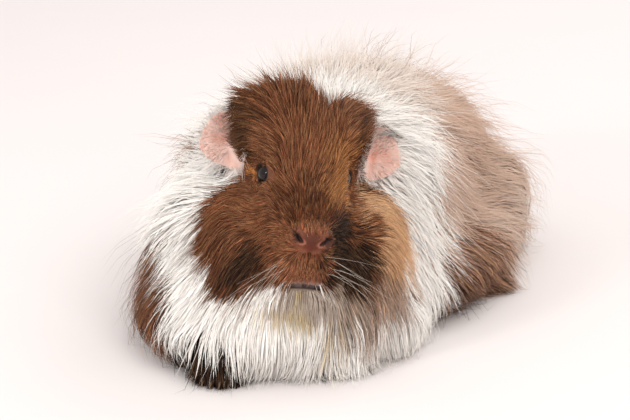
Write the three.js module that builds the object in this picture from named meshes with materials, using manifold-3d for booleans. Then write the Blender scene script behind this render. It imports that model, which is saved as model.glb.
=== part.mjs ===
// A life-size, long-haired guinea pig, lying with its feet tucked under and its head turned a little to
// its left. The solids give the outline of the coat, out to the tips of the hair. Millimetres, +Z up, the
// head towards -Y, and the origin on the ground under the middle of the animal.
import * as THREE from "three";
import { mergeVertices } from "three/addons/utils/BufferGeometryUtils.js";
import Module from "manifold-3d";

// ---- driving dimensions ---------------------------------------------------------------------------------
const GAP = 0.3; // the thin cut between neighbouring pieces
const GRID = 7; // spacing of the points that a coat surface is found from
const TRUNK_FACET = 1; // how far a facet of the trunk may lie from its surface
const HEAD_FACET = 0.65; // the same for the head
const SLIVER = 0.05; // unevenness under this is dropped from each finished piece

const TRUNK = { halfWidth: 80, backHeight: 104, rumpHeight: 94, rumpEnd: 142 };
const HEAD = { at: [8.3, -90.4, 72], yaw: 21.4, roll: 6, crownHeight: 39, noseForward: 46 };
const EYE = { radius: 5.3, side: 14.6, forward: 8, up: 2, bowl: 9.3 };
const EAR = { side: 29.5, back: 11, up: 8, width: 22, height: 24, thickness: 1.8, sweep: 30, droop: 12 };
const NOSE = { width: 13, height: 9, depth: 5, up: -13, nostril: [1.4, 3, 1], nostrilSide: 4.4 };
const FOREFOOT = { length: 27, width: 15, height: 11, toes: 4 };
const HINDFOOT = { length: 46, width: 15, height: 11, toes: 3 };
const CLAW = { radius: 1.5, length: 7, slope: 14, up: 3 };

// Where the thin cuts run. Those of the face are in the head's frame, the others in the body's.
const FACE_CUT = { mouth: -35, muzzleBack: -20, jawBack: -6, jawHalfWidth: 17 };
const BODY_CUT = { throat: 46, shoulder: -50, barrel: -8, rump: 50 };

const FUR_ROUGHNESS = 0.85;
const LOOK = {
  brown: { color: "#6b3d24", roughness: FUR_ROUGHNESS },
  white: { color: "#ece4da", roughness: FUR_ROUGHNESS },
  tan: { color: "#a98466", roughness: FUR_ROUGHNESS },
  dark: { color: "#3b2318", roughness: FUR_ROUGHNESS },
  pink: { color: "#dba08e", roughness: 0.55 },
  eye: { color: "#0c0908", roughness: 0.08 },
};

// ---- frames ---------------------------------------------------------------------------------------------
const rad = THREE.MathUtils.degToRad;
const ONE = new THREE.Vector3(1, 1, 1);

// A frame at a point, turned about Z, then X, then Y, in degrees.
function placed({ at = [0, 0, 0], yaw = 0, pitch = 0, roll = 0 }) {
  const turn = new THREE.Quaternion().setFromEuler(new THREE.Euler(rad(pitch), rad(roll), rad(yaw), "ZXY"));
  return new THREE.Matrix4().compose(new THREE.Vector3(...at), turn, ONE);
}
const within = (frame, place) => frame.clone().multiply(placed(place));
const bodyFrame = placed({});
const headFrame = placed(HEAD);
const mirrored = (make) => [make(-1), make(1)];

// ---- the coat's outline as a field: below zero inside, and about the distance in mm near the surface ------
// A rounded mass is an ellipsoid with its three radii, in the head's frame or the body's.
const mass = (frame, at, radii, turn = {}) => ({
  inverse: within(frame, { at, ...turn }).invert(),
  radii: new THREE.Vector3(...radii),
});

const scaled = new THREE.Vector3();
function massDistance({ inverse, radii }, point) {
  const near = scaled.copy(point).applyMatrix4(inverse).divide(radii).length();
  const steep = scaled.divide(radii).length();
  return steep === 0 ? -Math.min(radii.x, radii.y, radii.z) : (near * (near - 1)) / steep;
}

function blend(a, b, softness) {
  const h = Math.max(softness - Math.abs(a - b), 0) / softness;
  return Math.min(a, b) - (h * h * softness) / 4;
}
const fieldOf = (masses, softness) => (point) =>
  masses.map((each) => massDistance(each, point)).reduce((a, b) => blend(a, b, softness));

const MUZZLE_MIDDLE = 26; // how far in front of the head's centre the muzzle is widest
const headField = fieldOf(
  [
    mass(headFrame, [0, 6, 2], [25, 36, 27]), // skull
    mass(headFrame, [0, 5, HEAD.crownHeight - 21], [28, 25, 21]), // tuft of the crown
    mass(headFrame, [-17, 4, HEAD.crownHeight - 18], [15, 18, 15]), // tuft over the right ear
    mass(headFrame, [0, -18, -4], [16, 26, 17], { pitch: 24 }), // bridge of the nose
    mass(headFrame, [0, -MUZZLE_MIDDLE, -17], [20, HEAD.noseForward - MUZZLE_MIDDLE, 18]), // muzzle
    mass(headFrame, [-17, -5, -28], [22, 28, 26]), // right cheek, with its hanging hair
    mass(headFrame, [24, -4, -25], [21, 27, 24]), // left cheek
    ...mirrored((side) => mass(headFrame, [side * 8, -34, -25], [11, 11, 11])), // whisker pads
    mass(headFrame, [0, -22, -36], [16, 18, 10]), // chin
  ],
  9,
);

const BARREL_RADII = [TRUNK.halfWidth - 16, 80, 62];
const RUMP_RADII = [TRUNK.halfWidth - 15, 74, 54];
const trunkField = fieldOf(
  [
    mass(headFrame, [3, 22, -34], [58, 34, 44]), // ruff
    mass(bodyFrame, [2, -38, 54], [44, 32, 47], { yaw: 8 }), // nape
    mass(bodyFrame, [-4, -28, 48], [60, 50, 50]), // shoulders
    mass(bodyFrame, [-5, 14, TRUNK.backHeight - BARREL_RADII[2]], BARREL_RADII), // barrel
    mass(bodyFrame, [-3, TRUNK.rumpEnd - RUMP_RADII[1], TRUNK.rumpHeight - RUMP_RADII[2]], RUMP_RADII), // rump
    mass(bodyFrame, [0, 20, 18], [TRUNK.halfWidth, 121, 32]), // hem of the coat
    mass(bodyFrame, [-8, -66, 18], [60, 78, 36]), // hem round the forelegs
    mass(bodyFrame, [8, -92, 34], [48, 43, 34], { yaw: 18 }), // bib
  ],
  16,
);

// ---- a field made a mesh: one vertex for each grid cell that the surface crosses, a quad for each edge -----
const CELL_CORNERS = [0, 1, 2, 3, 4, 5, 6, 7].map((i) => [i & 1, (i >> 1) & 1, (i >> 2) & 1]);
const stepsApart = (a, b) => a.reduce((sum, value, axis) => sum + Math.abs(value - b[axis]), 0);
const CELL_EDGES = CELL_CORNERS.flatMap((a, i) =>
  CELL_CORNERS.flatMap((b, j) => (j > i && stepsApart(a, b) === 1 ? [[i, j]] : [])),
);

function surfaceOf(field, { low, high }) {
  const counts = low.map((value, axis) => Math.ceil((high[axis] - value) / GRID) + 1);
  const [nx, ny, nz] = counts;
  const indexOf = (i, j, k) => i + nx * (j + ny * k);
  const values = new Float32Array(nx * ny * nz);
  const point = new THREE.Vector3();
  // The border counts as outside, so that the surface closes.
  const onBorder = (cell) => cell.some((value, axis) => value === 0 || value === counts[axis] - 1);
  for (let k = 0; k < nz; k++)
    for (let j = 0; j < ny; j++)
      for (let i = 0; i < nx; i++) {
        point.set(low[0] + i * GRID, low[1] + j * GRID, low[2] + k * GRID);
        values[indexOf(i, j, k)] = onBorder([i, j, k]) ? GRID : field(point);
      }

  const vertices = [];
  const vertexOfCell = new Map();
  for (let k = 0; k < nz - 1; k++)
    for (let j = 0; j < ny - 1; j++)
      for (let i = 0; i < nx - 1; i++) {
        const at = CELL_CORNERS.map(([a, b, c]) => values[indexOf(i + a, j + b, k + c)]);
        const sum = new THREE.Vector3();
        let crossings = 0;
        for (const [a, b] of CELL_EDGES) {
          if (at[a] < 0 === at[b] < 0) continue;
          const from = new THREE.Vector3(...CELL_CORNERS[a]);
          sum.add(from.lerp(new THREE.Vector3(...CELL_CORNERS[b]), at[a] / (at[a] - at[b])));
          crossings += 1;
        }
        if (!crossings) continue;
        vertexOfCell.set(indexOf(i, j, k), vertices.length / 3);
        sum.divideScalar(crossings);
        vertices.push(low[0] + (i + sum.x) * GRID, low[1] + (j + sum.y) * GRID, low[2] + (k + sum.z) * GRID);
      }

  const stride = [1, nx, nx * ny];
  const faces = [];
  for (let k = 0; k < nz - 1; k++)
    for (let j = 0; j < ny - 1; j++)
      for (let i = 0; i < nx - 1; i++)
        for (let axis = 0; axis < 3; axis++) {
          const cell = [i, j, k];
          if (cell[(axis + 1) % 3] === 0 || cell[(axis + 2) % 3] === 0) continue;
          const here = indexOf(i, j, k);
          const inside = values[here] < 0;
          if (inside === values[here + stride[axis]] < 0) continue;
          const [u, v] = [stride[(axis + 1) % 3], stride[(axis + 2) % 3]];
          const ring = [here, here - u, here - u - v, here - v].map((index) => vertexOfCell.get(index));
          if (!inside) ring.reverse();
          faces.push(ring[0], ring[1], ring[2], ring[0], ring[2], ring[3]);
        }
  const geometry = new THREE.BufferGeometry();
  geometry.setAttribute("position", new THREE.Float32BufferAttribute(vertices, 3));
  geometry.setIndex(faces);
  return geometry;
}

// ---- solids that can be joined and cut -------------------------------------------------------------------
const wasm = await Module();
wasm.setup();

function solid(geometry, frame = bodyFrame) {
  const bare = geometry.clone().applyMatrix4(frame);
  for (const name of Object.keys(bare.attributes)) if (name !== "position") bare.deleteAttribute(name);
  const merged = mergeVertices(bare, 1e-4);
  return new wasm.Manifold(
    new wasm.Mesh({
      numProp: 3,
      vertProperties: new Float32Array(merged.attributes.position.array),
      triVerts: new Uint32Array(merged.index.array),
    }),
  );
}

// Facets that lie within a small distance of one plane become one.
const faceted = (body, distance) => body.asOriginal().simplify(distance);
const without = (body, others) => others.reduce((rest, other) => rest.subtract(other), body);
const largest = (body) => body.decompose().reduce((a, b) => (a.volume() > b.volume() ? a : b));

// A box given by two opposite corners in a frame.
function region(frame, low, high) {
  const size = high.map((value, axis) => value - low[axis]);
  const at = high.map((value, axis) => (value + low[axis]) / 2);
  return solid(new THREE.BoxGeometry(...size), within(frame, { at }));
}

// grow makes the clearance round an ellipsoid.
function ellipsoid(frame, at, radii, { turn = {}, grow = 0, segments = 12 } = {}) {
  const ball = new THREE.SphereGeometry(1, segments, Math.round(segments / 2));
  ball.scale(...radii.map((radius) => radius + grow));
  return solid(ball, within(frame, { at, ...turn }));
}

// ---- ears, eyes and nose ---------------------------------------------------------------------------------
// The outer ear is a petal: a flat disc, narrower below, cupped round its middle, its upper edge rolled over.
function earGeometry(side, grow) {
  const disc = new THREE.SphereGeometry(1, 14, 8);
  const position = disc.attributes.position;
  for (let i = 0; i < position.count; i++) {
    const across = position.getX(i) * (1 + (2 * grow) / EAR.width);
    const up = position.getZ(i) * (1 + (2 * grow) / EAR.height);
    const lobe = 1 - 0.16 * Math.sin(0.5 * Math.PI * up) * across; // fuller behind than in front
    const narrowing = 1 - 0.18 * Math.max(0, -up);
    const rolledEdge = 3.5 * Math.max(0, up) ** 3;
    const hollow = 5 * across * across - 1.5 * Math.cos(Math.PI * across) * (1 - up * up);
    const x = side * across * (EAR.width / 2) * narrowing * lobe;
    const y = position.getY(i) * (EAR.thickness / 2 + 1.5 * grow) - hollow - rolledEdge;
    position.setXYZ(i, x, y, up * (EAR.height / 2));
  }
  if (side < 0) disc.index.array.reverse(); // mirrored, so its faces are turned back to point out
  return disc;
}
const earFrame = (side) =>
  within(headFrame, { at: [side * EAR.side, EAR.back, EAR.up], yaw: side * EAR.sweep, roll: side * EAR.droop });
const ear = (side, grow = 0) => solid(earGeometry(side, grow), earFrame(side));

const eyeFrame = (side) => within(headFrame, { at: [side * EYE.side, -EYE.forward, EYE.up] });
const eye = (side, grow = 0) => solid(new THREE.SphereGeometry(EYE.radius + grow, 12, 8), eyeFrame(side));
// The coat parts round the eye in a shallow bowl.
const eyeBowl = (side) => ellipsoid(eyeFrame(side), [side * 12, -6, 0], [EYE.bowl, EYE.bowl + 1.7, EYE.bowl]);

// The nose pad is a rounded wedge with a nostril near each side.
const noseFrame = within(headFrame, { at: [0, 3 - HEAD.noseForward, NOSE.up], pitch: 20 });
const nosePad = (grow = 0) =>
  ellipsoid(noseFrame, [0, 0, 0], [NOSE.width / 2, NOSE.depth, NOSE.height / 2], { grow, segments: 10 });
const nostril = (side) =>
  ellipsoid(noseFrame, [side * NOSE.nostrilSide, -NOSE.depth, 0], NOSE.nostril, { segments: 6 });

// ---- feet and legs ---------------------------------------------------------------------------------------
const FEET = {
  forefoot_right: { at: [-14, -125, 0], yaw: 8, size: FOREFOOT },
  forefoot_left: { at: [30, -109, 0], yaw: 26, size: FOREFOOT },
  hindfoot_right: { at: [-64, 30, 0], yaw: -12, size: HINDFOOT },
  hindfoot_left: { at: [62, 30, 0], yaw: 12, size: HINDFOOT },
};
const LEGS = {
  foreleg_right: { at: [-29, -98, 14], radii: [19, 24, 25], turn: { yaw: 10 } },
  foreleg_left: { at: [48, -78, 14], radii: [17, 24, 25], turn: { yaw: 24 } },
  hindleg_right: { at: [-58, 72, 24], radii: [30, 42, 34] },
  hindleg_left: { at: [55, 72, 24], radii: [30, 42, 34] },
};
const leg = ({ at, radii, turn }, grow = 0) => ellipsoid(bodyFrame, at, radii, { turn, grow });

// A foot is a low sole with its toes side by side in front, the middle ones longest, each with a short claw.
function foot({ at, yaw, size }) {
  const frame = placed({ at, yaw });
  const soleRadii = [size.width / 2, size.length / 2, size.height * 0.6];
  let made = ellipsoid(frame, [0, 0, size.height * 0.42], soleRadii, { segments: 9 });
  const toeSpacing = (size.width * 0.92) / size.toes;
  const toeRadii = [toeSpacing * 0.62, size.length * 0.2, size.height * 0.4];
  for (let i = 0; i < size.toes; i++) {
    const across = (i - (size.toes - 1) / 2) * toeSpacing;
    const reach = size.length * 0.42 - Math.abs(across) * 0.5;
    const claw = new THREE.ConeGeometry(CLAW.radius, CLAW.length, 5);
    claw.rotateX(-Math.PI / 2 - rad(CLAW.slope));
    made = made.add(ellipsoid(frame, [across, -reach, size.height * 0.3], toeRadii, { segments: 6 }));
    made = made.add(solid(claw, within(frame, { at: [across, -reach - toeRadii[1], CLAW.up] })));
  }
  return made;
}

// The coat stands clear of a foot in a low arch, open in front for the claws.
function footRoom({ at, yaw, size }) {
  const frame = placed({ at, yaw });
  const side = size.width * 0.56;
  const front = -size.length * 0.62 - CLAW.length;
  const archRadii = [size.width * 0.7, size.length * 0.66, size.height * 1.25];
  const arch = ellipsoid(frame, [0, 0, 0], archRadii, { grow: GAP, segments: 8 });
  return arch.add(region(frame, [-side, front, -size.height], [side, 0, size.height * 0.8]));
}

// ---- head and trunk, and the thin cuts that part them ------------------------------------------------------
const FAR = 300;
const TRUNK_ROOM = { low: [-98, -158, -13], high: [94, 166, 134] };
const HEAD_ROOM = { low: [-62, -158, 6], high: [86, -32, 128] };
const ground = region(bodyFrame, [-FAR, -FAR, -FAR], [FAR, FAR, 0]);

const footRooms = Object.values(FEET).map(footRoom);
const legRooms = Object.values(LEGS).map((each) => leg(each, GAP));
const earSlots = mirrored((side) => ear(side, 2 * GAP));
const fleshOf = (body) => largest(without(body, [...legRooms, ...footRooms, ...earSlots]));

// The head is its own rounded form, and the ruff and the bib stand clear of it all round.
const HEAD_CLEARANCE = GAP + 2 * HEAD_FACET;
const headCoat = faceted(solid(surfaceOf(headField, HEAD_ROOM)), HEAD_FACET);
const headHollow = faceted(solid(surfaceOf((p) => headField(p) - HEAD_CLEARANCE, HEAD_ROOM)), HEAD_FACET);
const faceOpenings = [...mirrored(eyeBowl), ...mirrored((side) => eye(side, GAP)), nosePad(GAP)];
const face = without(fleshOf(headCoat), faceOpenings);
const muzzleRegion = (grow) =>
  region(headFrame, [-FAR, -FAR, FACE_CUT.mouth - grow], [FAR, FACE_CUT.muzzleBack + grow, FAR]);
function jawRegion(grow) {
  const side = FACE_CUT.jawHalfWidth + grow;
  return region(headFrame, [-side, -FAR, -FAR], [side, FACE_CUT.jawBack + grow, FACE_CUT.mouth - GAP + grow]);
}

const trunkCoat = without(faceted(solid(surfaceOf(trunkField, TRUNK_ROOM)), TRUNK_FACET), [ground, headHollow]);
const trunkBetween = (front, back, low = -FAR, high = FAR) =>
  fleshOf(trunkCoat.intersect(region(bodyFrame, [-FAR, front, low], [FAR, back, high])));

// ---- the pieces ------------------------------------------------------------------------------------------
const headPieces = {
  head: [largest(without(face, [muzzleRegion(GAP), jawRegion(GAP)])), LOOK.brown],
  muzzle: [largest(face.intersect(muzzleRegion(0))), LOOK.brown],
  lower_jaw: [largest(face.intersect(jawRegion(0))), LOOK.white],
  nose_pad: [without(nosePad(), mirrored(nostril)), LOOK.pink],
  ear_right: [ear(-1), LOOK.pink],
  ear_left: [ear(1), LOOK.pink],
  eye_right: [eye(-1), LOOK.eye],
  eye_left: [eye(1), LOOK.eye],
};
const trunkPieces = {
  neck: [trunkBetween(-FAR, BODY_CUT.shoulder, BODY_CUT.throat + GAP), LOOK.white],
  chest: [trunkBetween(-FAR, BODY_CUT.shoulder, -FAR, BODY_CUT.throat), LOOK.white],
  shoulders: [trunkBetween(BODY_CUT.shoulder + GAP, BODY_CUT.barrel), LOOK.tan],
  barrel: [trunkBetween(BODY_CUT.barrel + GAP, BODY_CUT.rump), LOOK.tan],
  rump: [trunkBetween(BODY_CUT.rump + GAP, FAR), LOOK.tan],
};
const legPieces = {};
for (const [name, shape] of Object.entries(LEGS))
  legPieces[name] = [largest(without(trunkCoat.intersect(leg(shape)), footRooms)), LOOK.brown];
for (const [name, place] of Object.entries(FEET))
  legPieces[name] = [largest(foot(place).subtract(ground)), LOOK.dark];

// ---- the scene graph: each piece is placed by its middle, in the group of its part of the body --------------
function meshOf(name, body, look) {
  const { vertProperties, triVerts } = faceted(body, SLIVER).getMesh();
  const geometry = new THREE.BufferGeometry();
  geometry.setAttribute("position", new THREE.BufferAttribute(vertProperties, 3));
  geometry.setIndex(new THREE.BufferAttribute(triVerts, 1));
  geometry.computeBoundingBox();
  const middle = geometry.boundingBox.getCenter(new THREE.Vector3());
  geometry.translate(-middle.x, -middle.y, -middle.z);
  geometry.computeVertexNormals();
  const mesh = new THREE.Mesh(geometry, new THREE.MeshStandardMaterial({ ...look, metalness: 0 }));
  mesh.name = name;
  mesh.position.copy(middle);
  return mesh;
}

function groupOf(name, pieces) {
  const group = new THREE.Group();
  group.name = name;
  for (const [node, [body, look]] of Object.entries(pieces)) group.add(meshOf(node, body, look));
  return group;
}

const guineaPig = new THREE.Group();
guineaPig.name = "guinea_pig";
guineaPig.add(groupOf("head_group", headPieces));
guineaPig.add(groupOf("trunk_group", trunkPieces));
guineaPig.add(groupOf("leg_group", legPieces));

export default guineaPig;
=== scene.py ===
"""A long-haired guinea pig, life size, lying with its feet tucked under and its head turned to its left.

The animal is one closed skin, found from rounded masses like those of the solids and lying inside them
by the depth of the coat. The coat stands on it as many thin closed locks of hair that follow its lie.
Skin and coat take their markings, and some painted shade and highlight, from the same patches. Points
and lengths are in millimetres until a mesh is made, with +Z up, the head towards -Y and the animal's
left towards +X.
"""

import logging
import math
from collections.abc import Callable
from dataclasses import dataclass
from enum import Enum
from functools import partial

import bpy
import numpy as np
from mathutils import Matrix, Vector
from mathutils.kdtree import KDTree


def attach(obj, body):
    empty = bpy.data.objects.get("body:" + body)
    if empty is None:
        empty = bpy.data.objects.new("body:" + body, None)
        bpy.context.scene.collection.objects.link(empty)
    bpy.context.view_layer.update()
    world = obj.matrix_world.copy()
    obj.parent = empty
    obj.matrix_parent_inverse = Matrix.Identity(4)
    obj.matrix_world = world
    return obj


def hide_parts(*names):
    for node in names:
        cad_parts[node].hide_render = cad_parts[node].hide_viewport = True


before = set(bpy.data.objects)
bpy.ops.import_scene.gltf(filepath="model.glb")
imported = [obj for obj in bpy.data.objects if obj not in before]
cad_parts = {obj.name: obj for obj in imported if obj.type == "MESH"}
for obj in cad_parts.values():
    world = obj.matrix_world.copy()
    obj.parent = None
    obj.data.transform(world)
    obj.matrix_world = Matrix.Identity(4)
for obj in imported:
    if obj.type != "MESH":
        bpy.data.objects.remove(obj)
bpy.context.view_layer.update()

log = logging.getLogger("guinea_pig")


class Slot(Enum):
    """The finishes that the frame names."""

    BROWN = "brown_fur"
    DARK = "dark_fur"
    WHITE = "white_fur"
    TAN = "tan_fur"
    EYE = "eye_glass"


MM = 0.001
SEED = 7
SIDES = (-1, 1)  # the animal's right and left
DOWN = np.array((0.0, 0.0, -1.0))
Triple = tuple[float, float, float]
Array = np.ndarray
Field = Callable[[Array], Array]


# ---- small tools --------------------
def linear(code: str) -> Triple:
    """Turn an sRGB colour written as #rrggbb into the linear values that shaders work in."""
    parts = [int(code[i : i + 2], 16) / 255 for i in (1, 3, 5)]
    return tuple(c / 12.92 if c <= 0.04045 else ((c + 0.055) / 1.055) ** 2.4 for c in parts)


def size_of(vectors: Array) -> Array:
    """Measure vectors along the last axis."""
    return np.linalg.norm(vectors, axis=-1)


def unit(vectors: Array) -> Array:
    """Scale vectors to length 1 along the last axis."""
    return vectors / np.maximum(np.linalg.norm(vectors, axis=-1, keepdims=True), 1e-9)


def ramp(value: Array, low: float, high: float) -> Array:
    """Rise smoothly from 0 at low to 1 at high."""
    t = np.clip((value - low) / (high - low), 0, 1)
    return t * t * (3 - 2 * t)


def merge(a: Array, b: Array, softness: float) -> Array:
    """Join the values of two fields with a fillet that is softness mm wide."""
    h = np.maximum(softness - np.abs(a - b), 0) / softness
    return np.minimum(a, b) - h * h * softness / 4


def carve(a: Array, b: Array, softness: float) -> Array:
    """Take the second field's form out of the first, with an edge rounded by softness mm."""
    return -merge(-a, b, softness)


def mixed(colours: Array, other: Triple, share: Array) -> Array:
    """Draw colours towards another one, each by its own share from 0 to 1."""
    return colours + (np.array(other) - colours) * share[:, None]


def turning(yaw: float, pitch: float, roll: float) -> Array:
    """Make the 3 by 3 matrix that turns by degrees about Z, then X, then Y."""
    turns = [Matrix.Rotation(math.radians(angle), 3, axis) for angle, axis in zip((yaw, pitch, roll), "ZXY")]
    return np.array(turns[0] @ turns[1] @ turns[2])


class Waves:
    """Smooth noise made from a few crossing waves, the same on every run."""

    def __init__(self, length: float, seed: int, count: int = 7) -> None:
        """Choose the waves.

        Args:
            length: Their usual wavelength in mm.
            seed: Fixes the choice.
            count: How many waves.
        """
        rng = np.random.default_rng(seed)
        heading = unit(rng.normal(size=(count, 3)))
        self.stretch = (heading * (2 * math.pi / (length * rng.uniform(0.6, 1.6, (count, 1))))).T
        self.start = rng.uniform(0, 2 * math.pi, count)
        self.scale = math.sqrt(2 / count)

    def __call__(self, points: Array) -> Array:
        """Give the noise at points in mm, from about -1 to 1."""
        return np.sin(points @ self.stretch + self.start).sum(-1) * self.scale


# ---- where things are --------------------
@dataclass(frozen=True)
class Place:
    """A point with its own three directions."""

    at: Array
    turn: Array

    @classmethod
    def of(cls, at: Triple, yaw: float = 0, pitch: float = 0, roll: float = 0) -> "Place":
        """Make a place in the body's frame from its point in mm and its turns in degrees."""
        return cls(np.array(at, float), turning(yaw, pitch, roll))

    def within(self, at: Triple, yaw: float = 0, pitch: float = 0, roll: float = 0) -> "Place":
        """Make a place from a point in mm and turns in degrees given in this one's directions."""
        return Place(self.world(np.array(at, float)), self.turn @ turning(yaw, pitch, roll))

    def world(self, points: Array) -> Array:
        """Carry points from this place's frame to the body's."""
        return points @ self.turn.T + self.at

    def local(self, points: Array) -> Array:
        """Carry points from the body's frame to this place's."""
        return (points - self.at) @ self.turn

    def aim(self, heading: Array) -> Array:
        """Carry directions from this place's frame to the body's."""
        return np.asarray(heading, float) @ self.turn.T


BODY = Place.of((0, 0, 0))
HEAD = Place.of((8.3, -90.4, 72), yaw=21.4, roll=6)


@dataclass(frozen=True)
class Mass:
    """A rounded mass of the body: an ellipsoid."""

    place: Place
    radii: Triple

    @classmethod
    def of(cls, frame_of: Place, at: Triple, radii: Triple, **turn: float) -> "Mass":
        """Make a mass from its centre and radii in mm, with its yaw, pitch and roll in degrees."""
        return cls(frame_of.within(at, **turn), radii)

    def distance(self, points: Array) -> Array:
        """Give about how far points lie outside the mass.

        Args:
            points: Rows of x, y, z.

        Returns:
            Millimetres, below zero inside.
        """
        scaled = self.place.local(points) / np.array(self.radii)
        near = np.sqrt((scaled * scaled).sum(-1))
        steep = np.sqrt(((scaled / np.array(self.radii)) ** 2).sum(-1)) + 1e-9
        return near * (near - 1) / steep


in_head = partial(Mass.of, HEAD)
in_body = partial(Mass.of, BODY)


def merged(masses: list[Mass], points: Array, softness: float) -> Array:
    """Join masses into one field.

    Args:
        masses: What is joined.
        points: Rows of x, y, z.
        softness: Width of the fillets in mm.

    Returns:
        The joined field's values.
    """
    total = masses[0].distance(points)
    for each in masses[1:]:
        total = merge(total, each.distance(points), softness)
    return total


# ---- the coat's outline, after the solids --------------------
HEAD_MASSES = [
    in_head((0, 6, 2), (25, 36, 27)),  # skull
    in_head((0, 5, 18), (28, 25, 21)),  # tuft of the crown
    in_head((-14.5, 4, 22), (13.5, 18, 15)),  # tuft over the right ear
    in_head((0, -18, -4), (16, 26, 17), pitch=24),  # bridge of the nose
    in_head((0, -26, -17), (20, 20, 18)),  # muzzle
    in_head((-17, -5, -28), (22, 28, 26)),  # right cheek
    in_head((24, -4, -25), (21, 27, 24)),  # left cheek
    in_head((-8, -34, -25), (11, 11, 11)),  # right whisker pad
    in_head((8, -34, -25), (11, 11, 11)),  # left whisker pad
    in_head((0, -22, -36), (16, 18, 10)),  # chin
]
TRUNK_MASSES = [
    in_head((3, 22, -34), (58, 34, 44)),  # ruff
    in_body((2, -38, 54), (44, 32, 47), yaw=8),  # nape
    in_body((-4, -28, 48), (60, 50, 50)),  # shoulders
    in_body((-5, 14, 42), (64, 80, 62)),  # barrel
    in_body((-3, 68, 40), (65, 74, 54)),  # rump
    in_body((0, 20, 18), (80, 121, 32)),  # hem of the coat
    in_body((-8, -66, 18), (60, 78, 36)),  # hem round the forelegs
    in_body((8, -92, 34), (48, 43, 34), yaw=18),  # bib
]
LEG_MASSES = [
    in_body((-29, -98, 15), (13, 19, 15), yaw=10),  # right foreleg
    in_body((42, -78, 13), (10, 16, 12), yaw=24),  # left foreleg
    in_body((-52, 72, 24), (22, 34, 24)),  # right thigh
    in_body((49, 72, 24), (22, 34, 24)),  # left thigh
]


@dataclass(frozen=True)
class Eye:
    """One eye: its ball, the way it looks, and its lids' thickness in mm and opening in degrees."""

    side: int
    radius: float = 5.3
    lid: float = 1.1
    film: float = 0.15
    opening: float = 47.0
    almond: float = 9.0

    @property
    def place(self) -> Place:
        """The centre of the ball, in the head's directions."""
        return HEAD.within((self.side * 12.9, -9.2, 3.5))

    @property
    def gaze(self) -> Array:
        """The way that the middle of the pupil faces."""
        return unit(HEAD.aim((self.side * 0.86, -0.5, 0.12)))

    @property
    def bowl(self) -> Mass:
        """The hollow in the coat round the eye."""
        return Mass.of(self.place, (self.side * 12, -6, 0), (9.3, 11, 9.3))

    @property
    def view(self) -> Array:
        """The way out of the eye, in the head's directions, that the hair leaves open."""
        return unit(np.array((-0.12, -0.96, 0.25) if self.side < 0 else (1.0, -0.5, 0.25)))

    def lids(self, points: Array) -> Array:
        """Give the field of both lids: a thin shell on the ball, open in an almond in front.

        Args:
            points: Rows of x, y, z.

        Returns:
            Millimetres, below zero inside the lids.
        """
        away = points - self.place.at
        reach = size_of(away)
        facing = np.clip(away @ self.gaze / np.maximum(reach, 1e-6), -1, 1)
        upright = np.abs(away @ HEAD.aim((0, 0, 1.0))) / np.maximum(reach, 1e-6)
        angle = np.degrees(np.arccos(facing)) + self.almond * upright
        middle = self.radius + self.film + self.lid / 2
        shell = np.abs(reach - middle) - self.lid / 2
        gap = (self.opening - angle) * math.radians(1) * middle
        return np.maximum(shell, gap)


EYES = [Eye(side) for side in SIDES]


@dataclass(frozen=True)
class Ear:
    """One outer ear: a cupped petal, narrower below, with its upper edge rolled over."""

    side: int
    width: float = 21
    height: float = 22
    thickness: float = 1.9
    coarse: float = 5.0
    rolled: float = 3.5
    cupped: float = 5.0
    folded: float = 1.5

    @property
    def place(self) -> Place:
        """The middle of the petal."""
        at = (self.side * 27.6, 10, 11.2 - self.side * 0.8)
        return HEAD.within(at, yaw=self.side * 30, roll=self.side * 12)

    def shape(self, points: Array) -> tuple[Array, Array, Array]:
        """Measure points against the petal.

        Args:
            points: Rows of x, y, z.

        Returns:
            How far across and up the petal they lie, from -1 to 1, and how far in front of it in mm.
        """
        local = self.place.local(points)
        up = local[:, 2] / (self.height / 2)
        narrowing = 1 - 0.18 * np.clip(-up, 0, 2)
        across = self.side * local[:, 0] / (self.width / 2) / narrowing
        lobe = 1 - 0.16 * np.sin(0.5 * math.pi * np.clip(up, -1.2, 1.2)) * np.clip(across, -1.2, 1.2)
        across = across / lobe
        roll = self.rolled * np.clip(up, 0, 1.3) ** 3
        inner = np.clip(1 - up * up, 0, 1)
        cup = self.cupped * np.clip(across, -1.4, 1.4) ** 2
        fold = self.folded * np.cos(math.pi * np.clip(across, -1.4, 1.4)) * inner
        return across, up, local[:, 1] + cup - fold + roll

    def distance(self, points: Array, thickness: float) -> Array:
        """Give about how far points lie outside the ear.

        Args:
            points: Rows of x, y, z.
            thickness: How thick the petal is taken to be.

        Returns:
            Millimetres, below zero inside.
        """
        across, up, ahead = self.shape(points)
        rim = np.maximum((np.hypot(across, up) - 1) * self.height * 0.45, 0)
        return np.hypot(rim, ahead) * 0.8 - thickness * 0.4


EARS = [Ear(side) for side in SIDES]


@dataclass(frozen=True)
class Foot:
    """One foot: a low sole with its toes side by side in front."""

    name: str
    at: Triple
    yaw: float
    length: float
    toes: int
    width: float = 15
    height: float = 11

    @property
    def place(self) -> Place:
        """The ground under the middle of the sole."""
        return Place.of(self.at, yaw=self.yaw)

    def toe_tips(self) -> list[tuple[float, float]]:
        """Place the toes side by side.

        Returns:
            For each toe, how far it lies across the foot and in front of its middle.
        """
        spacing = self.width * 0.92 / self.toes
        places = [(i - (self.toes - 1) / 2) * spacing for i in range(self.toes)]
        return [(across, self.length * 0.42 - abs(across) * 0.5) for across in places]

    def masses(self) -> list[Mass]:
        """Give the sole and the toes.

        Returns:
            The masses.
        """
        sole = (self.width / 2, self.length / 2, self.height * 0.6)
        toe = (self.width * 0.57 / self.toes, self.length * 0.2, self.height * 0.4)
        made = [Mass.of(self.place, (0, 0, self.height * 0.42), sole)]
        for across, reach in self.toe_tips():
            made.append(Mass.of(self.place, (across, -reach, self.height * 0.3), toe))
        return made


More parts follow.
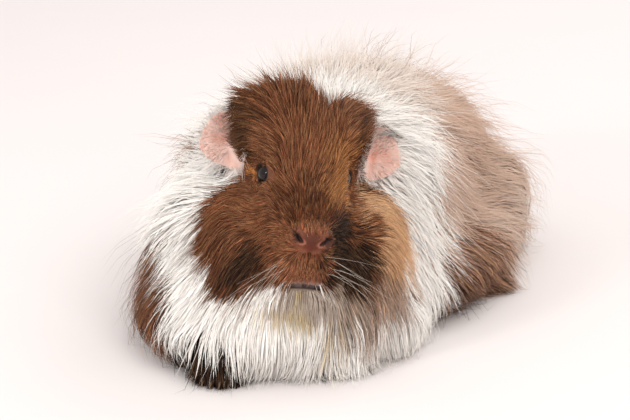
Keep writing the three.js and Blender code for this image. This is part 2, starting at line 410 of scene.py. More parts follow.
FEET = [
    Foot("forefoot_right", (-14, -125, 0), 8, 27, 4),
    Foot("forefoot_left", (26, -99, 0), 26, 27, 4),
    Foot("hindfoot_right", (-64, 30, 0), -12, 46, 3),
    Foot("hindfoot_left", (62, 30, 0), 12, 46, 3),
]


class Anatomy:
    """The fields of the coat's outline and of the skin under it."""

    HEAD_SOFTNESS = 9
    TRUNK_SOFTNESS = 16
    NECK_SOFTNESS = 6
    FOOT_REACH = 34
    NOSE = HEAD.within((0.5, -43, -11), pitch=20, roll=6)
    MUZZLE_TIP = np.array((0.0, -45.0, -16.0))
    MOUTH_HEIGHT = -31.6
    MOUTH_CURVE = 0.014
    MOUTH_FRONT = -28

    @classmethod
    def mouth_line(cls, across: Array) -> Array:
        """Give the height of the mouth, in the head's frame, by how far a point lies to the side."""
        return cls.MOUTH_HEIGHT - cls.MOUTH_CURVE * across**2

    @classmethod
    def nostril(cls, side: int, radii: Triple) -> Mass:
        """Give the slit of the nostril on one side."""
        return Mass.of(cls.NOSE, (side * 5.2, -4.2, 0.5), radii, roll=side * -38)

    def head_coat(self, points: Array) -> Array:
        """Give the field of the head's coat."""
        return merged(HEAD_MASSES, points, self.HEAD_SOFTNESS)

    def trunk_coat(self, points: Array) -> Array:
        """Give the field of the trunk's coat."""
        return merged(TRUNK_MASSES, points, self.TRUNK_SOFTNESS)

    def coat(self, points: Array) -> Array:
        """Give the field of the whole coat's outline, with the hollows round the eyes.

        Args:
            points: Rows of x, y, z.

        Returns:
            Millimetres, below zero inside.
        """
        outline = merge(self.head_coat(points), self.trunk_coat(points), self.NECK_SOFTNESS)
        for eye in EYES:
            outline = carve(outline, eye.bowl.distance(points), 3)
        return outline

    def head_depth(self, local: Array) -> Array:
        """Say how deep the coat is on the head.

        Args:
            local: Points in the head's frame.

        Returns:
            Millimetres, least at the nose and lips.
        """
        depth = np.full(len(local), 4.6)
        depth -= 3.0 * np.exp(-(((local - self.MUZZLE_TIP) / (13, 16, 17)) ** 2).sum(-1))
        depth += 5.0 * ramp(local[:, 2], 18, 38)
        depth += 3.5 * np.exp(-(((local - (-30, -8, -38)) / (16, 22, 14)) ** 2).sum(-1))
        depth += 2.5 * np.exp(-(((local - (34, -8, -34)) / (14, 20, 12)) ** 2).sum(-1))
        return depth

    def skin(self, points: Array, fine: bool = True, ears: bool = True) -> Array:
        """Give the field of the skin.

        Args:
            points: Rows of x, y, z.
            fine: With the thin ears, nostrils, lips and lids. Without them it has thicker ears, so that a
                coarse grid finds a closed surface.
            ears: With the outer ears.

        Returns:
            Millimetres, below zero inside.
        """
        local = HEAD.local(points)
        head = self.head_coat(points) + self.head_depth(local)
        height = points[:, 2]
        trunk_depth = 8 + 3 * ramp(-height, -16, -3) + 3.5 * ramp(height, 70, 100)
        trunk_depth = trunk_depth + 3 * ramp(points[:, 1], -60, 0)
        trunk = self.trunk_coat(points) + trunk_depth
        field = merge(head, trunk, 9)
        for leg in LEG_MASSES:
            field = merge(field, leg.distance(points), 7)
        field = np.maximum(field, 2.5 - height)
        for foot in FEET:
            near = np.abs(foot.place.local(points)).max(-1) < self.FOOT_REACH
            if near.any():
                field[near] = merge(field[near], merged(foot.masses(), points[near], 1.6), 2)
        field = np.maximum(field, 0.1 - height)
        near = local[:, 1] < 40
        near &= np.abs(local[:, 0] - 2) < 62
        near &= local[:, 2] > -52
        if near.any():
            if ears:
                field[near] = self._ears(field[near], points[near], fine)
            field[near] = self._face(field[near], points[near], local[near], fine)
        return field

    @staticmethod
    def _ears(field: Array, points: Array, fine: bool) -> Array:
        """Add the outer ears, each on a short root.

        Args:
            field: The skin's values so far.
            points: Rows of x, y, z.
            fine: With the ears as thin as they are.

        Returns:
            The new values.
        """
        for ear in EARS:
            root = in_head((ear.side * 20, 12, 6), (8, 7, 9))
            field = merge(field, root.distance(points), 6)
            field = merge(field, ear.distance(points, ear.thickness if fine else ear.coarse), 3.5)
        return field

    def _face(self, field: Array, points: Array, local: Array, fine: bool) -> Array:
        """Add the nose, the mouth and the lids.

        Args:
            field: The skin's values so far.
            points: Rows of x, y, z.
            local: The same points in the head's frame.
            fine: With the nostrils, the lips and the lids.

        Returns:
            The new values.
        """
        nose = Mass(self.NOSE, (6.4, 4.8, 4.6))
        field = merge(field, nose.distance(points), 4)
        for eye in EYES:
            dish = Mass.of(eye.place, (eye.side * 12.5, -7, 0), (8, 10, 8.2))
            field = carve(field, dish.distance(points), 5)
        if not fine:
            return field
        for eye in EYES:
            reach = size_of(points - eye.place.at)
            field = carve(field, reach - eye.radius - 0.12, 0.6)
            field = merge(field, eye.lids(points), 1.4)
        for side in SIDES:
            slit = self.nostril(side, (2.3, 2.6, 0.95))
            wing = Mass.of(self.NOSE, (side * 5.8, -1.5, 0.3), (2.6, 3.0, 2.9))
            field = merge(field, wing.distance(points), 2.0)
            field = carve(field, slit.distance(points), 0.7)
        below = local[:, 2]
        groove = np.hypot(local[:, 0], np.maximum(below + 17.5, 0) + np.maximum(-29.5 - below, 0))
        field = field + 0.9 * np.exp(-((groove / 0.75) ** 2)) * (local[:, 1] < -34)
        smile = self.mouth_line(local[:, 0])
        corner = ramp(np.abs(local[:, 0]), 13, 8)
        ahead = local[:, 1] < self.MOUTH_FRONT
        field = field + 2.4 * np.exp(-(((below - smile) / 0.7) ** 2)) * corner * ahead
        upper = np.exp(-(((below - smile - 2.6) / 1.7) ** 2)) * corner * ahead
        lower = np.exp(-(((below - smile + 2.4) / 1.6) ** 2)) * corner * ahead
        return field - 0.8 * upper - 0.3 * lower

    @staticmethod
    def slope(field_of: Field, points: Array, step: float = 0.35) -> tuple[Array, Array]:
        """Measure a field and the way it rises.

        Args:
            field_of: The field.
            points: Rows of x, y, z.
            step: How far apart the values compared are.

        Returns:
            The field's values and its unit gradients.
        """
        here = field_of(points)
        rise = np.stack([field_of(points + step * axis) - here for axis in np.eye(3)], -1)
        return here, unit(rise)


ANATOMY = Anatomy()


def smooth_skin(points: Array) -> Array:
    """Give the skin's field without its ears and small features, for the hair to follow."""
    return ANATOMY.skin(points, fine=False, ears=False)


# ---- the skin as a mesh --------------------
CORNERS = [(i, j, k) for i in (0, 1) for j in (0, 1) for k in (0, 1)]


def window(corner: tuple[int, int, int], size: Array) -> tuple[slice, ...]:
    """Cut a block out of a grid, from one corner of its first cell."""
    return tuple(slice(c, c + s) for c, s in zip(corner, size))


def surface_nets(
    field_of: Field, low: Array, high: Array, cell: float, block: int = 4
) -> tuple[Array, Array]:
    """Find the surface of a field, with a point for each crossed cell and a quad for each crossed edge.

    Args:
        field_of: The field, below zero inside.
        low: Lowest corner of the room in mm.
        high: Highest corner.
        cell: Size of a grid cell.
        block: Cells to a side of the blocks that are tested first.

    Returns:
        The points and the quads.
    """
    blocks = np.ceil((high - low) / (cell * block)).astype(int)
    axes = [low[i] + cell * block * np.arange(blocks[i] + 1) for i in range(3)]
    rough = field_of(np.stack(np.meshgrid(*axes, indexing="ij"), -1).reshape(-1, 3)).reshape(blocks + 1)
    close = np.min([np.abs(rough[window(corner, blocks)]) for corner in CORNERS], axis=0)
    busy = close < cell * block * 1.7
    for axis in range(3):
        busy = np.repeat(busy, block, axis)
    counts = blocks * block + 1
    wanted = np.zeros(counts, bool)
    for corner in CORNERS:
        wanted[window(corner, busy.shape)] |= busy
    nearest = [np.round(np.arange(n) / block).astype(int) for n in counts]
    values = rough[np.ix_(*nearest)].copy()
    spots = np.argwhere(wanted)
    values[wanted] = field_of(low + spots * cell)

    inside = values < 0
    size = counts - 1
    tally = sum(inside[window(corner, size)].astype(np.int8) for corner in CORNERS)
    crossed = (tally > 0) & (tally < 8)
    cells = np.argwhere(crossed)
    number = np.full(size, -1)
    number[crossed] = np.arange(len(cells))
    total = np.zeros((len(cells), 3))
    crossings = np.zeros(len(cells))
    for a in CORNERS:
        for axis in range(3):
            if a[axis]:
                continue
            b = tuple(c + (i == axis) for i, c in enumerate(a))
            va = values[tuple((cells + a).T)]
            vb = values[tuple((cells + b).T)]
            cut = (va < 0) != (vb < 0)
            t = np.where(cut, va / np.where(cut, va - vb, 1), 0)
            total += cut[:, None] * (np.array(a) + t[:, None] * np.eye(3)[axis])
            crossings += cut
    points = low + (cells + total / crossings[:, None]) * cell

    quads = []
    for axis in range(3):
        u, v = (axis + 1) % 3, (axis + 2) % 3
        first = [slice(None)] * 3
        second = [slice(None)] * 3
        first[axis] = slice(0, -1)
        second[axis] = slice(1, None)
        change = inside[tuple(first)] != inside[tuple(second)]
        edges = np.argwhere(change)
        kept = (edges[:, [u, v]] > 0) & (edges[:, [u, v]] < size[[u, v]])
        edges = edges[kept.all(1)]
        leaving = inside[tuple(edges.T)]
        around = []
        for du, dv in ((-1, -1), (0, -1), (0, 0), (-1, 0)):
            at = edges.copy()
            at[:, u] += du
            at[:, v] += dv
            around.append(number[tuple(at.T)])
        quad = np.stack(around, -1)
        quads.append(np.where(leaving[:, None], quad, quad[:, ::-1]))
    return points, np.concatenate(quads)


def refined(points: Array, triangles: Array, chosen: Array) -> tuple[Array, Array]:
    """Halve the edges between chosen points, and split the triangles beside them so that none gapes.

    Args:
        points: Rows of x, y, z.
        triangles: Rows of three point numbers.
        chosen: Whether each point is chosen.

    Returns:
        The new points and triangles.
    """
    edges = np.stack([triangles, np.roll(triangles, -1, 1)], -1)
    marked = chosen[edges].all(-1)
    ordered = np.sort(edges[marked], -1)
    keys, order = np.unique(ordered[:, 0] * len(points) + ordered[:, 1], return_inverse=True)
    halves = np.full(marked.shape, -1)
    halves[marked] = len(points) + order
    ends = np.stack([keys // len(points), keys % len(points)], -1)
    points = np.concatenate([points, points[ends].mean(1)])
    made = [triangles[marked.sum(1) == 0]]
    for turn in range(3):
        tri = np.roll(triangles, -turn, 1)
        half = np.roll(halves, -turn, 1)
        mark = np.roll(marked, -turn, 1)
        a, b, c = tri.T
        ab, bc, ca = half.T
        one = mark[:, 0] & ~mark[:, 1] & ~mark[:, 2]
        made.append(np.stack([a, ab, c], -1)[one])
        made.append(np.stack([ab, b, c], -1)[one])
        two = mark[:, 0] & mark[:, 1] & ~mark[:, 2]
        made.append(np.stack([ab, b, bc], -1)[two])
        made.append(np.stack([a, ab, bc], -1)[two])
        made.append(np.stack([a, bc, c], -1)[two])
        if turn == 0:
            every = mark.all(1)
            made.append(np.stack([ab, bc, ca], -1)[every])
        made.append(np.stack([a, ab, ca], -1)[mark.all(1)])
    return points, np.concatenate(made)


def settle(points: Array, field_of: Field, rounds: int = 3, most: float = 0.7) -> Array:
    """Move points onto the surface of a field.

    Args:
        points: Rows of x, y, z.
        field_of: The field.
        rounds: How many steps each point may take.
        most: The longest step.

    Returns:
        The moved points.
    """
    for _ in range(rounds):
        here, rise = Anatomy.slope(field_of, points, 0.25)
        points = points - rise * np.clip(here, -most, most)[:, None]
    return points


@dataclass
class SkinForm:
    """The skin's points and triangles, finer on the head and finest at the eyes, nose and mouth."""

    cell: float = 1.9
    low: Triple = (-86.0, -156.0, -3.0)
    high: Triple = (86.0, 156.0, 124.0)
    ear_rounds: int = 16
    ear_evening: float = 0.6

    def __post_init__(self) -> None:
        """Find the surface and settle it on the fine field."""
        coarse = partial(ANATOMY.skin, fine=False)
        points, quads = surface_nets(coarse, np.array(self.low), np.array(self.high), self.cell)
        triangles = np.concatenate([quads[:, [0, 1, 2]], quads[:, [0, 2, 3]]])
        points = settle(points, coarse)
        local = HEAD.local(points)
        face = (size_of((local - (0, -12, -6)) / (46, 40, 44)) < 1) & (local[:, 1] < 26)
        points, triangles = refined(points, triangles, face)
        for reach in (1.0, 0.55):
            points = settle(points, ANATOMY.skin, rounds=1)
            points, triangles = refined(points, triangles, self._near_features(points, reach))
        self.points = self._even_ears(settle(points, ANATOMY.skin, rounds=4, most=0.45), triangles)
        self.triangles = triangles
        _, self.normals = Anatomy.slope(ANATOMY.skin, self.points)
        log.info("skin: %d points, %d triangles", len(self.points), len(self.triangles))

    @staticmethod
    def _even_ears(points: Array, triangles: Array) -> Array:
        """Smooth the thin ears, where a point may have settled on the wrong side.

        Args:
            points: The skin's points.
            triangles: Its triangles.

        Returns:
            The moved points.
        """
        on_ear = Coat.on_ear(points)
        pairs = np.concatenate([triangles[:, [0, 1]], triangles[:, [1, 2]], triangles[:, [2, 0]]])
        pairs = np.concatenate([pairs, pairs[:, ::-1]])
        pairs = pairs[on_ear[pairs[:, 0]]]
        counts = np.maximum(np.bincount(pairs[:, 0], minlength=len(points)), 1)[:, None]
        moving = on_ear
        for turn in range(SkinForm.ear_rounds):
            ends = points[pairs[:, 1]].T
            sums = np.stack([np.bincount(pairs[:, 0], end, len(points)) for end in ends], -1)
            share = SkinForm.ear_evening
            points = np.where(moving[:, None], points * (1 - share) + sums / counts * share, points)
            if turn >= 3:
                moving = on_ear & SkinForm._folded(points, triangles)
        return points

    @staticmethod
    def _folded(points: Array, triangles: Array) -> Array:
        """Mark the points round which the surface turns back on itself.

        Args:
            points: The skin's points.
            triangles: Its triangles.

        Returns:
            True for each such point.
        """
        corners = points[triangles]
        facing = unit(np.cross(corners[:, 1] - corners[:, 0], corners[:, 2] - corners[:, 0]))
        total = np.zeros_like(points)
        for corner in range(3):
            np.add.at(total, triangles[:, corner], facing)
        agrees = (unit(total)[triangles] * facing[:, None]).sum(-1)
        folded = np.zeros(len(points), bool)
        folded[triangles[agrees < 0.35]] = True
        return folded

    @staticmethod
    def _near_features(points: Array, reach: float) -> Array:
        """Mark the points round the eyes, the nose and the mouth.

        Args:
            points: The skin's points.
            reach: How far the marks reach, 1 at most.

        Returns:
            True for each such point.
        """
        local = HEAD.local(points)
        near = np.zeros(len(points), bool)
        for eye in EYES:
            near |= size_of(points - eye.place.at) < 5 + 5 * reach
        near |= (np.abs(local - (0, -43, -13)) / (10, 12, 9)).max(-1) < reach
        near |= (np.abs(local - (0, -40, -31)) / (15, 16, 7)).max(-1) < reach
        return near


# ---- markings, with painted shade and a painted highlight: the same patches colour the skin and the coat ---
@dataclass(frozen=True)
class Patch:
    """One colour of the pelt, a few of them painted shade and one a painted highlight: where it lies, how
    soft and ragged its edge is, and how strong it is.
    """

    name: str
    colour: str
    where: list[Mass]
    edge: float = 3.0
    strength: float = 1.0
    ragged: float = 2.5
    on_head: bool = False

    def cover(self, points: Array, noise: Array) -> Array:
        """Say how fully the patch covers points.

        Args:
            points: Rows of x, y, z.
            noise: Values of about -1 to 1 that make the edge ragged.

        Returns:
            From 0 outside to the patch's strength inside.
        """
        inside = np.min([mass.distance(points) for mass in self.where], axis=0)
        if self.on_head:
            beyond = ANATOMY.head_coat(points) + 4 - ANATOMY.trunk_coat(points) - 7.5
            inside = np.maximum(inside, beyond)
        return self.strength * ramp(-(inside + self.ragged * noise), -self.edge, self.edge)


WHITE = "#f6f0ea"
PATCHES = [
    Patch("beige of the back", "#e3d5ca", [in_body((14, 62, 96), (60, 84, 46))], 14),
    Patch("tan of the left flank", "#c6a691", [in_body((75, 85, 40), (60, 138, 130))], 7, 0.9, 6),
    Patch("cream streaks of the left flank", "#e2d6cb", [in_body((80, 30, 30), (12, 70, 12))], 6, 0.6, 6),
    Patch("cream low on the left flank", "#d8c8bb", [in_body((82, 46, 12), (18, 48, 16))], 6, 0.75, 4),
    Patch(
        "brown low on the left flank", "#6f4c3b",
        [in_body((72, -30, 26), (24, 34, 32), yaw=4), in_body((70, 20, 66), (20, 40, 14))], 7, 0.9, 5,
    ),
    Patch("tan whorl of the back", "#b9a08c", [in_body((22, 8, 112), (26, 18, 14))], 9, 0.8, 3),
    Patch("tan of the right flank", "#a5826a", [in_body((-80, 50, 44), (36, 96, 60), yaw=6)], 13, 0.95, 6),
    Patch("brown saddle of the rump", "#76492f", [in_body((-18, 118, 78), (44, 40, 40))], 13, 0.9, 6),
    Patch("brown of the right flank", "#5e3b2b", [in_body((-71, -108, 12), (40, 60, 47), yaw=-6)], 4),
    Patch("brown by the right shoulder", "#86604c", [in_body((-60, -50, 70), (16, 18, 12))], 5, 0.8),
    # dark brown fur, made darker still as painted shade low on the side by the floor
    Patch("dark brown and painted shade of the left elbow", "#46291d", [in_body((70, -46, 4), (20, 26, 22), yaw=10)], 7),
    # the feet's own dark brown fur; the low mass along the front hem is painted shade by the floor
    Patch(
        "dark brown of the feet and painted shade of the hem", "#1d100b",
        [
            in_body((-21, -134, 1), (23, 26, 18), yaw=10), in_body((20, -122, -6), (50, 28, 12), yaw=24),
            in_body((-64, 30, 0), (12, 34, 10)), in_body((62, 30, 0), (12, 34, 10)),
        ], 3,
    ),
    Patch(
        "brown of the face", "#6b3f28",
        [
            in_head((-3, -12, 16), (39, 22, 36)), in_head((0, -30, -10), (27, 26, 21)),
            in_head((0, -42, -22), (22, 14, 11)), in_head((-22, -14, -20), (26, 32, 20)),
            in_head((-25, -28, -37), (16, 24, 13)), in_head((25, -14, -16), (28, 32, 18)),
            in_head((24, -30, -28), (13, 22, 11)),
        ], 1.6, ragged=1.2, on_head=True,
    ),
    Patch(
        "brown fringe of the right cheek", "#5a3421",
        [in_head((-25, -33, -30), (14, 18, 9))], 1.6, ragged=1.5,
    ),
    Patch(
        "brown fringe of the left cheek", "#5f3d2c",
        [in_head((24, -33, -30), (15, 18, 8))], 1.6, ragged=1.5,
    ),
    Patch(
        "dark brown of the temples", "#37200f",
        [in_head((-25, -5, 17), (9, 14, 12)), in_head((29, -8, 14), (8, 16, 20))], 5, 0.8, on_head=True,
    ),
    # dark brown fur on the right cheek, partly painted shade on the side away from the key light
    Patch(
        "dark brown and painted shade of the right cheek", "#4a2a1a",
        [in_head((-34, -22, -28), (16, 22, 16))], 10, 0.6, 2, True,
    ),
    Patch("dark brown of the bridge", "#492412", [in_head((-1, -36, -3), (13, 12, 9))], 6, 0.8),
    # golden brown fur with a painted highlight, on the side towards the key light
    Patch("golden brown and painted highlight between the eyes", "#a8703e", [in_head((13, -25, 7), (8, 14, 11))], 7, 0.55),
    Patch(
        "golden brown of the left cheek", "#cfa27a",
        [in_head((39.5, -16, -15), (12, 26, 18)), in_head((33, -12, -4), (11, 16, 6))], 7, 0.86, 3,
    ),
    # beige fur below the left cheek, darkened as painted shade under it
    Patch("beige and painted shade below the left cheek", "#9b8272", [in_head((31, -28, -38), (19, 24, 9))], 5, 0.85, 3),
    Patch(
        "near black beside the left nostril", "#120a07",
        [in_head((18, -37, -11), (10, 13, 6)), in_head((16, -38, -21), (13.5, 14, 12), roll=-10)], 5, 0.95, 2,
    ),
    # painted shadow in the hollow between the right whisker pad and the cheek
    Patch(
        "painted shadow in the hollow of the right lower cheek", "#180d08",
        [in_head((-24, -38, -28), (8.5, 14, 13), roll=33)], 5, 0.85, 2,
    ),
    Patch("orange behind the right eye", "#bd7c44", [in_head((-22, -7, 2.6), (5, 6, 1.8))], 2, 0.8, 0.6),
    Patch("pink brown of the nose", "#7d4632", [in_head((0, -46, -13), (8, 6, 5))], 3, 0.7, 0.6),
    Patch("russet of the upper lip", "#83503a", [in_head((-3, -45, -25), (9, 8, 6))], 3, 0.8),
    Patch("white notch of the crown", WHITE, [in_head((8, 3, 37), (5.5, 19, 9), yaw=-6)], 1.6, ragged=0.8),
    # the chin's pale fur darkened to grey brown: painted shade under the muzzle
    Patch("grey brown painted shade of the pale chin", "#a69484", [in_head((6, -40, -38), (19, 20, 7))], 4, 0.85, 1.5),
    Patch(
        "yellow stain under the chin", "#cfbb92",
        [in_head((-1, -44, -42.6), (15, 12, 3.4), roll=14)], 4, 0.75,
    ),
]


class Pelt:
    """The markings of the skin and the coat, with their painted shade and highlights."""

    GLINT_GOLD = "#c09063"
    LUMINANCE = np.array((0.21, 0.72, 0.07))
    MOST = 0.92

    def __init__(self) -> None:
        """Prepare the noise that makes the edges of the patches ragged."""
        self.broad = Waves(22, SEED + 1)
        self.narrow = Waves(6, SEED + 2)

    def colour(self, points: Array, chance: Array | None = None) -> Array:
        """Colour points of the skin, or hairs by their roots.

        Args:
            points: Rows of x, y, z.
            chance: For hairs, a number from 0 to 1 each, so that a hair at an edge is of one colour or
                the other.

        Returns:
            Linear red, green and blue.
        """
        noise = self.broad(points) * 0.7 + self.narrow(points) * 0.5
        colours = np.tile(linear(WHITE), (len(points), 1))
        for number, patch in enumerate(PATCHES):
            cover = patch.cover(points, noise)
            if chance is not None:
                threshold = (chance * 7.31 + number * 0.377) % 1.0
                cover = patch.strength * ramp(cover / patch.strength * 1.15 - threshold, 0, 0.15)
            colours = mixed(colours, linear(patch.colour), cover)
        return colours

    @staticmethod
    def shaded(colours: Array, along: Array, rng: np.random.Generator) -> Array:
        """Shade each lock from its root to its tip, and make every lock a little lighter or darker.

        Dark hair has dark roots, partly its own colour and partly painted shade where the locks cover each
        other, and here and there golden tips, partly its own colour and partly painted highlight. White hair
        keeps nearly one tone.

        Args:
            colours: The colour of each lock, linear.
            along: Places along a lock, from 0 at the root to 1 at the tip.
            rng: Source of random numbers.

        Returns:
            Linear colours, one row of places for each lock.
        """
        light = colours @ Pelt.LUMINANCE
        dark = ramp(-light, -0.5, -0.08)[:, None]
        # painted shade, partly the hair's own colour: dark hair darkens towards its roots, where the locks
        # cover each other
        root = 1 - (0.02 + 0.56 * dark) * (1 - ramp(along, 0.0, 0.75))[None]
        tone = np.exp(rng.normal(size=(len(colours), 1)) * (0.05 + 0.44 * dark))
        # painted highlight, partly golden hair: random dark locks get golden tips
        glint = dark * ramp(rng.random((len(colours), 1)), 0.5, 1.0) * ramp(along, 0.3, 1.0)[None] * 0.85
        strand = np.exp(rng.normal(size=(len(colours), 3)) * (0.03 + 0.3 * dark))
        strand = np.concatenate([np.tile(strand, len(along) // 3), np.ones((len(colours), 1))], 1)
        made = colours[:, None] * (root * tone * strand)[..., None]
        golden = np.array(linear(Pelt.GLINT_GOLD)) * (0.35 + 1.7 * light[:, None] / 0.2).clip(0.3, 1.4)
        return np.clip(made + (golden[:, None] - made) * glint[..., None], 0, Pelt.MOST)


PELT = Pelt()


# ---- the lie of the coat --------------------
@dataclass(frozen=True)
class Comb:
    """How the hair lies at one place: where it points, and how long, wide, lifted and frizzy it is."""

    frame_of: Place
    at: Triple
    toward: Triple
    length: float
    width: float
    lift: float
    droop: float
    reach: float
    frizz: float = 0.15


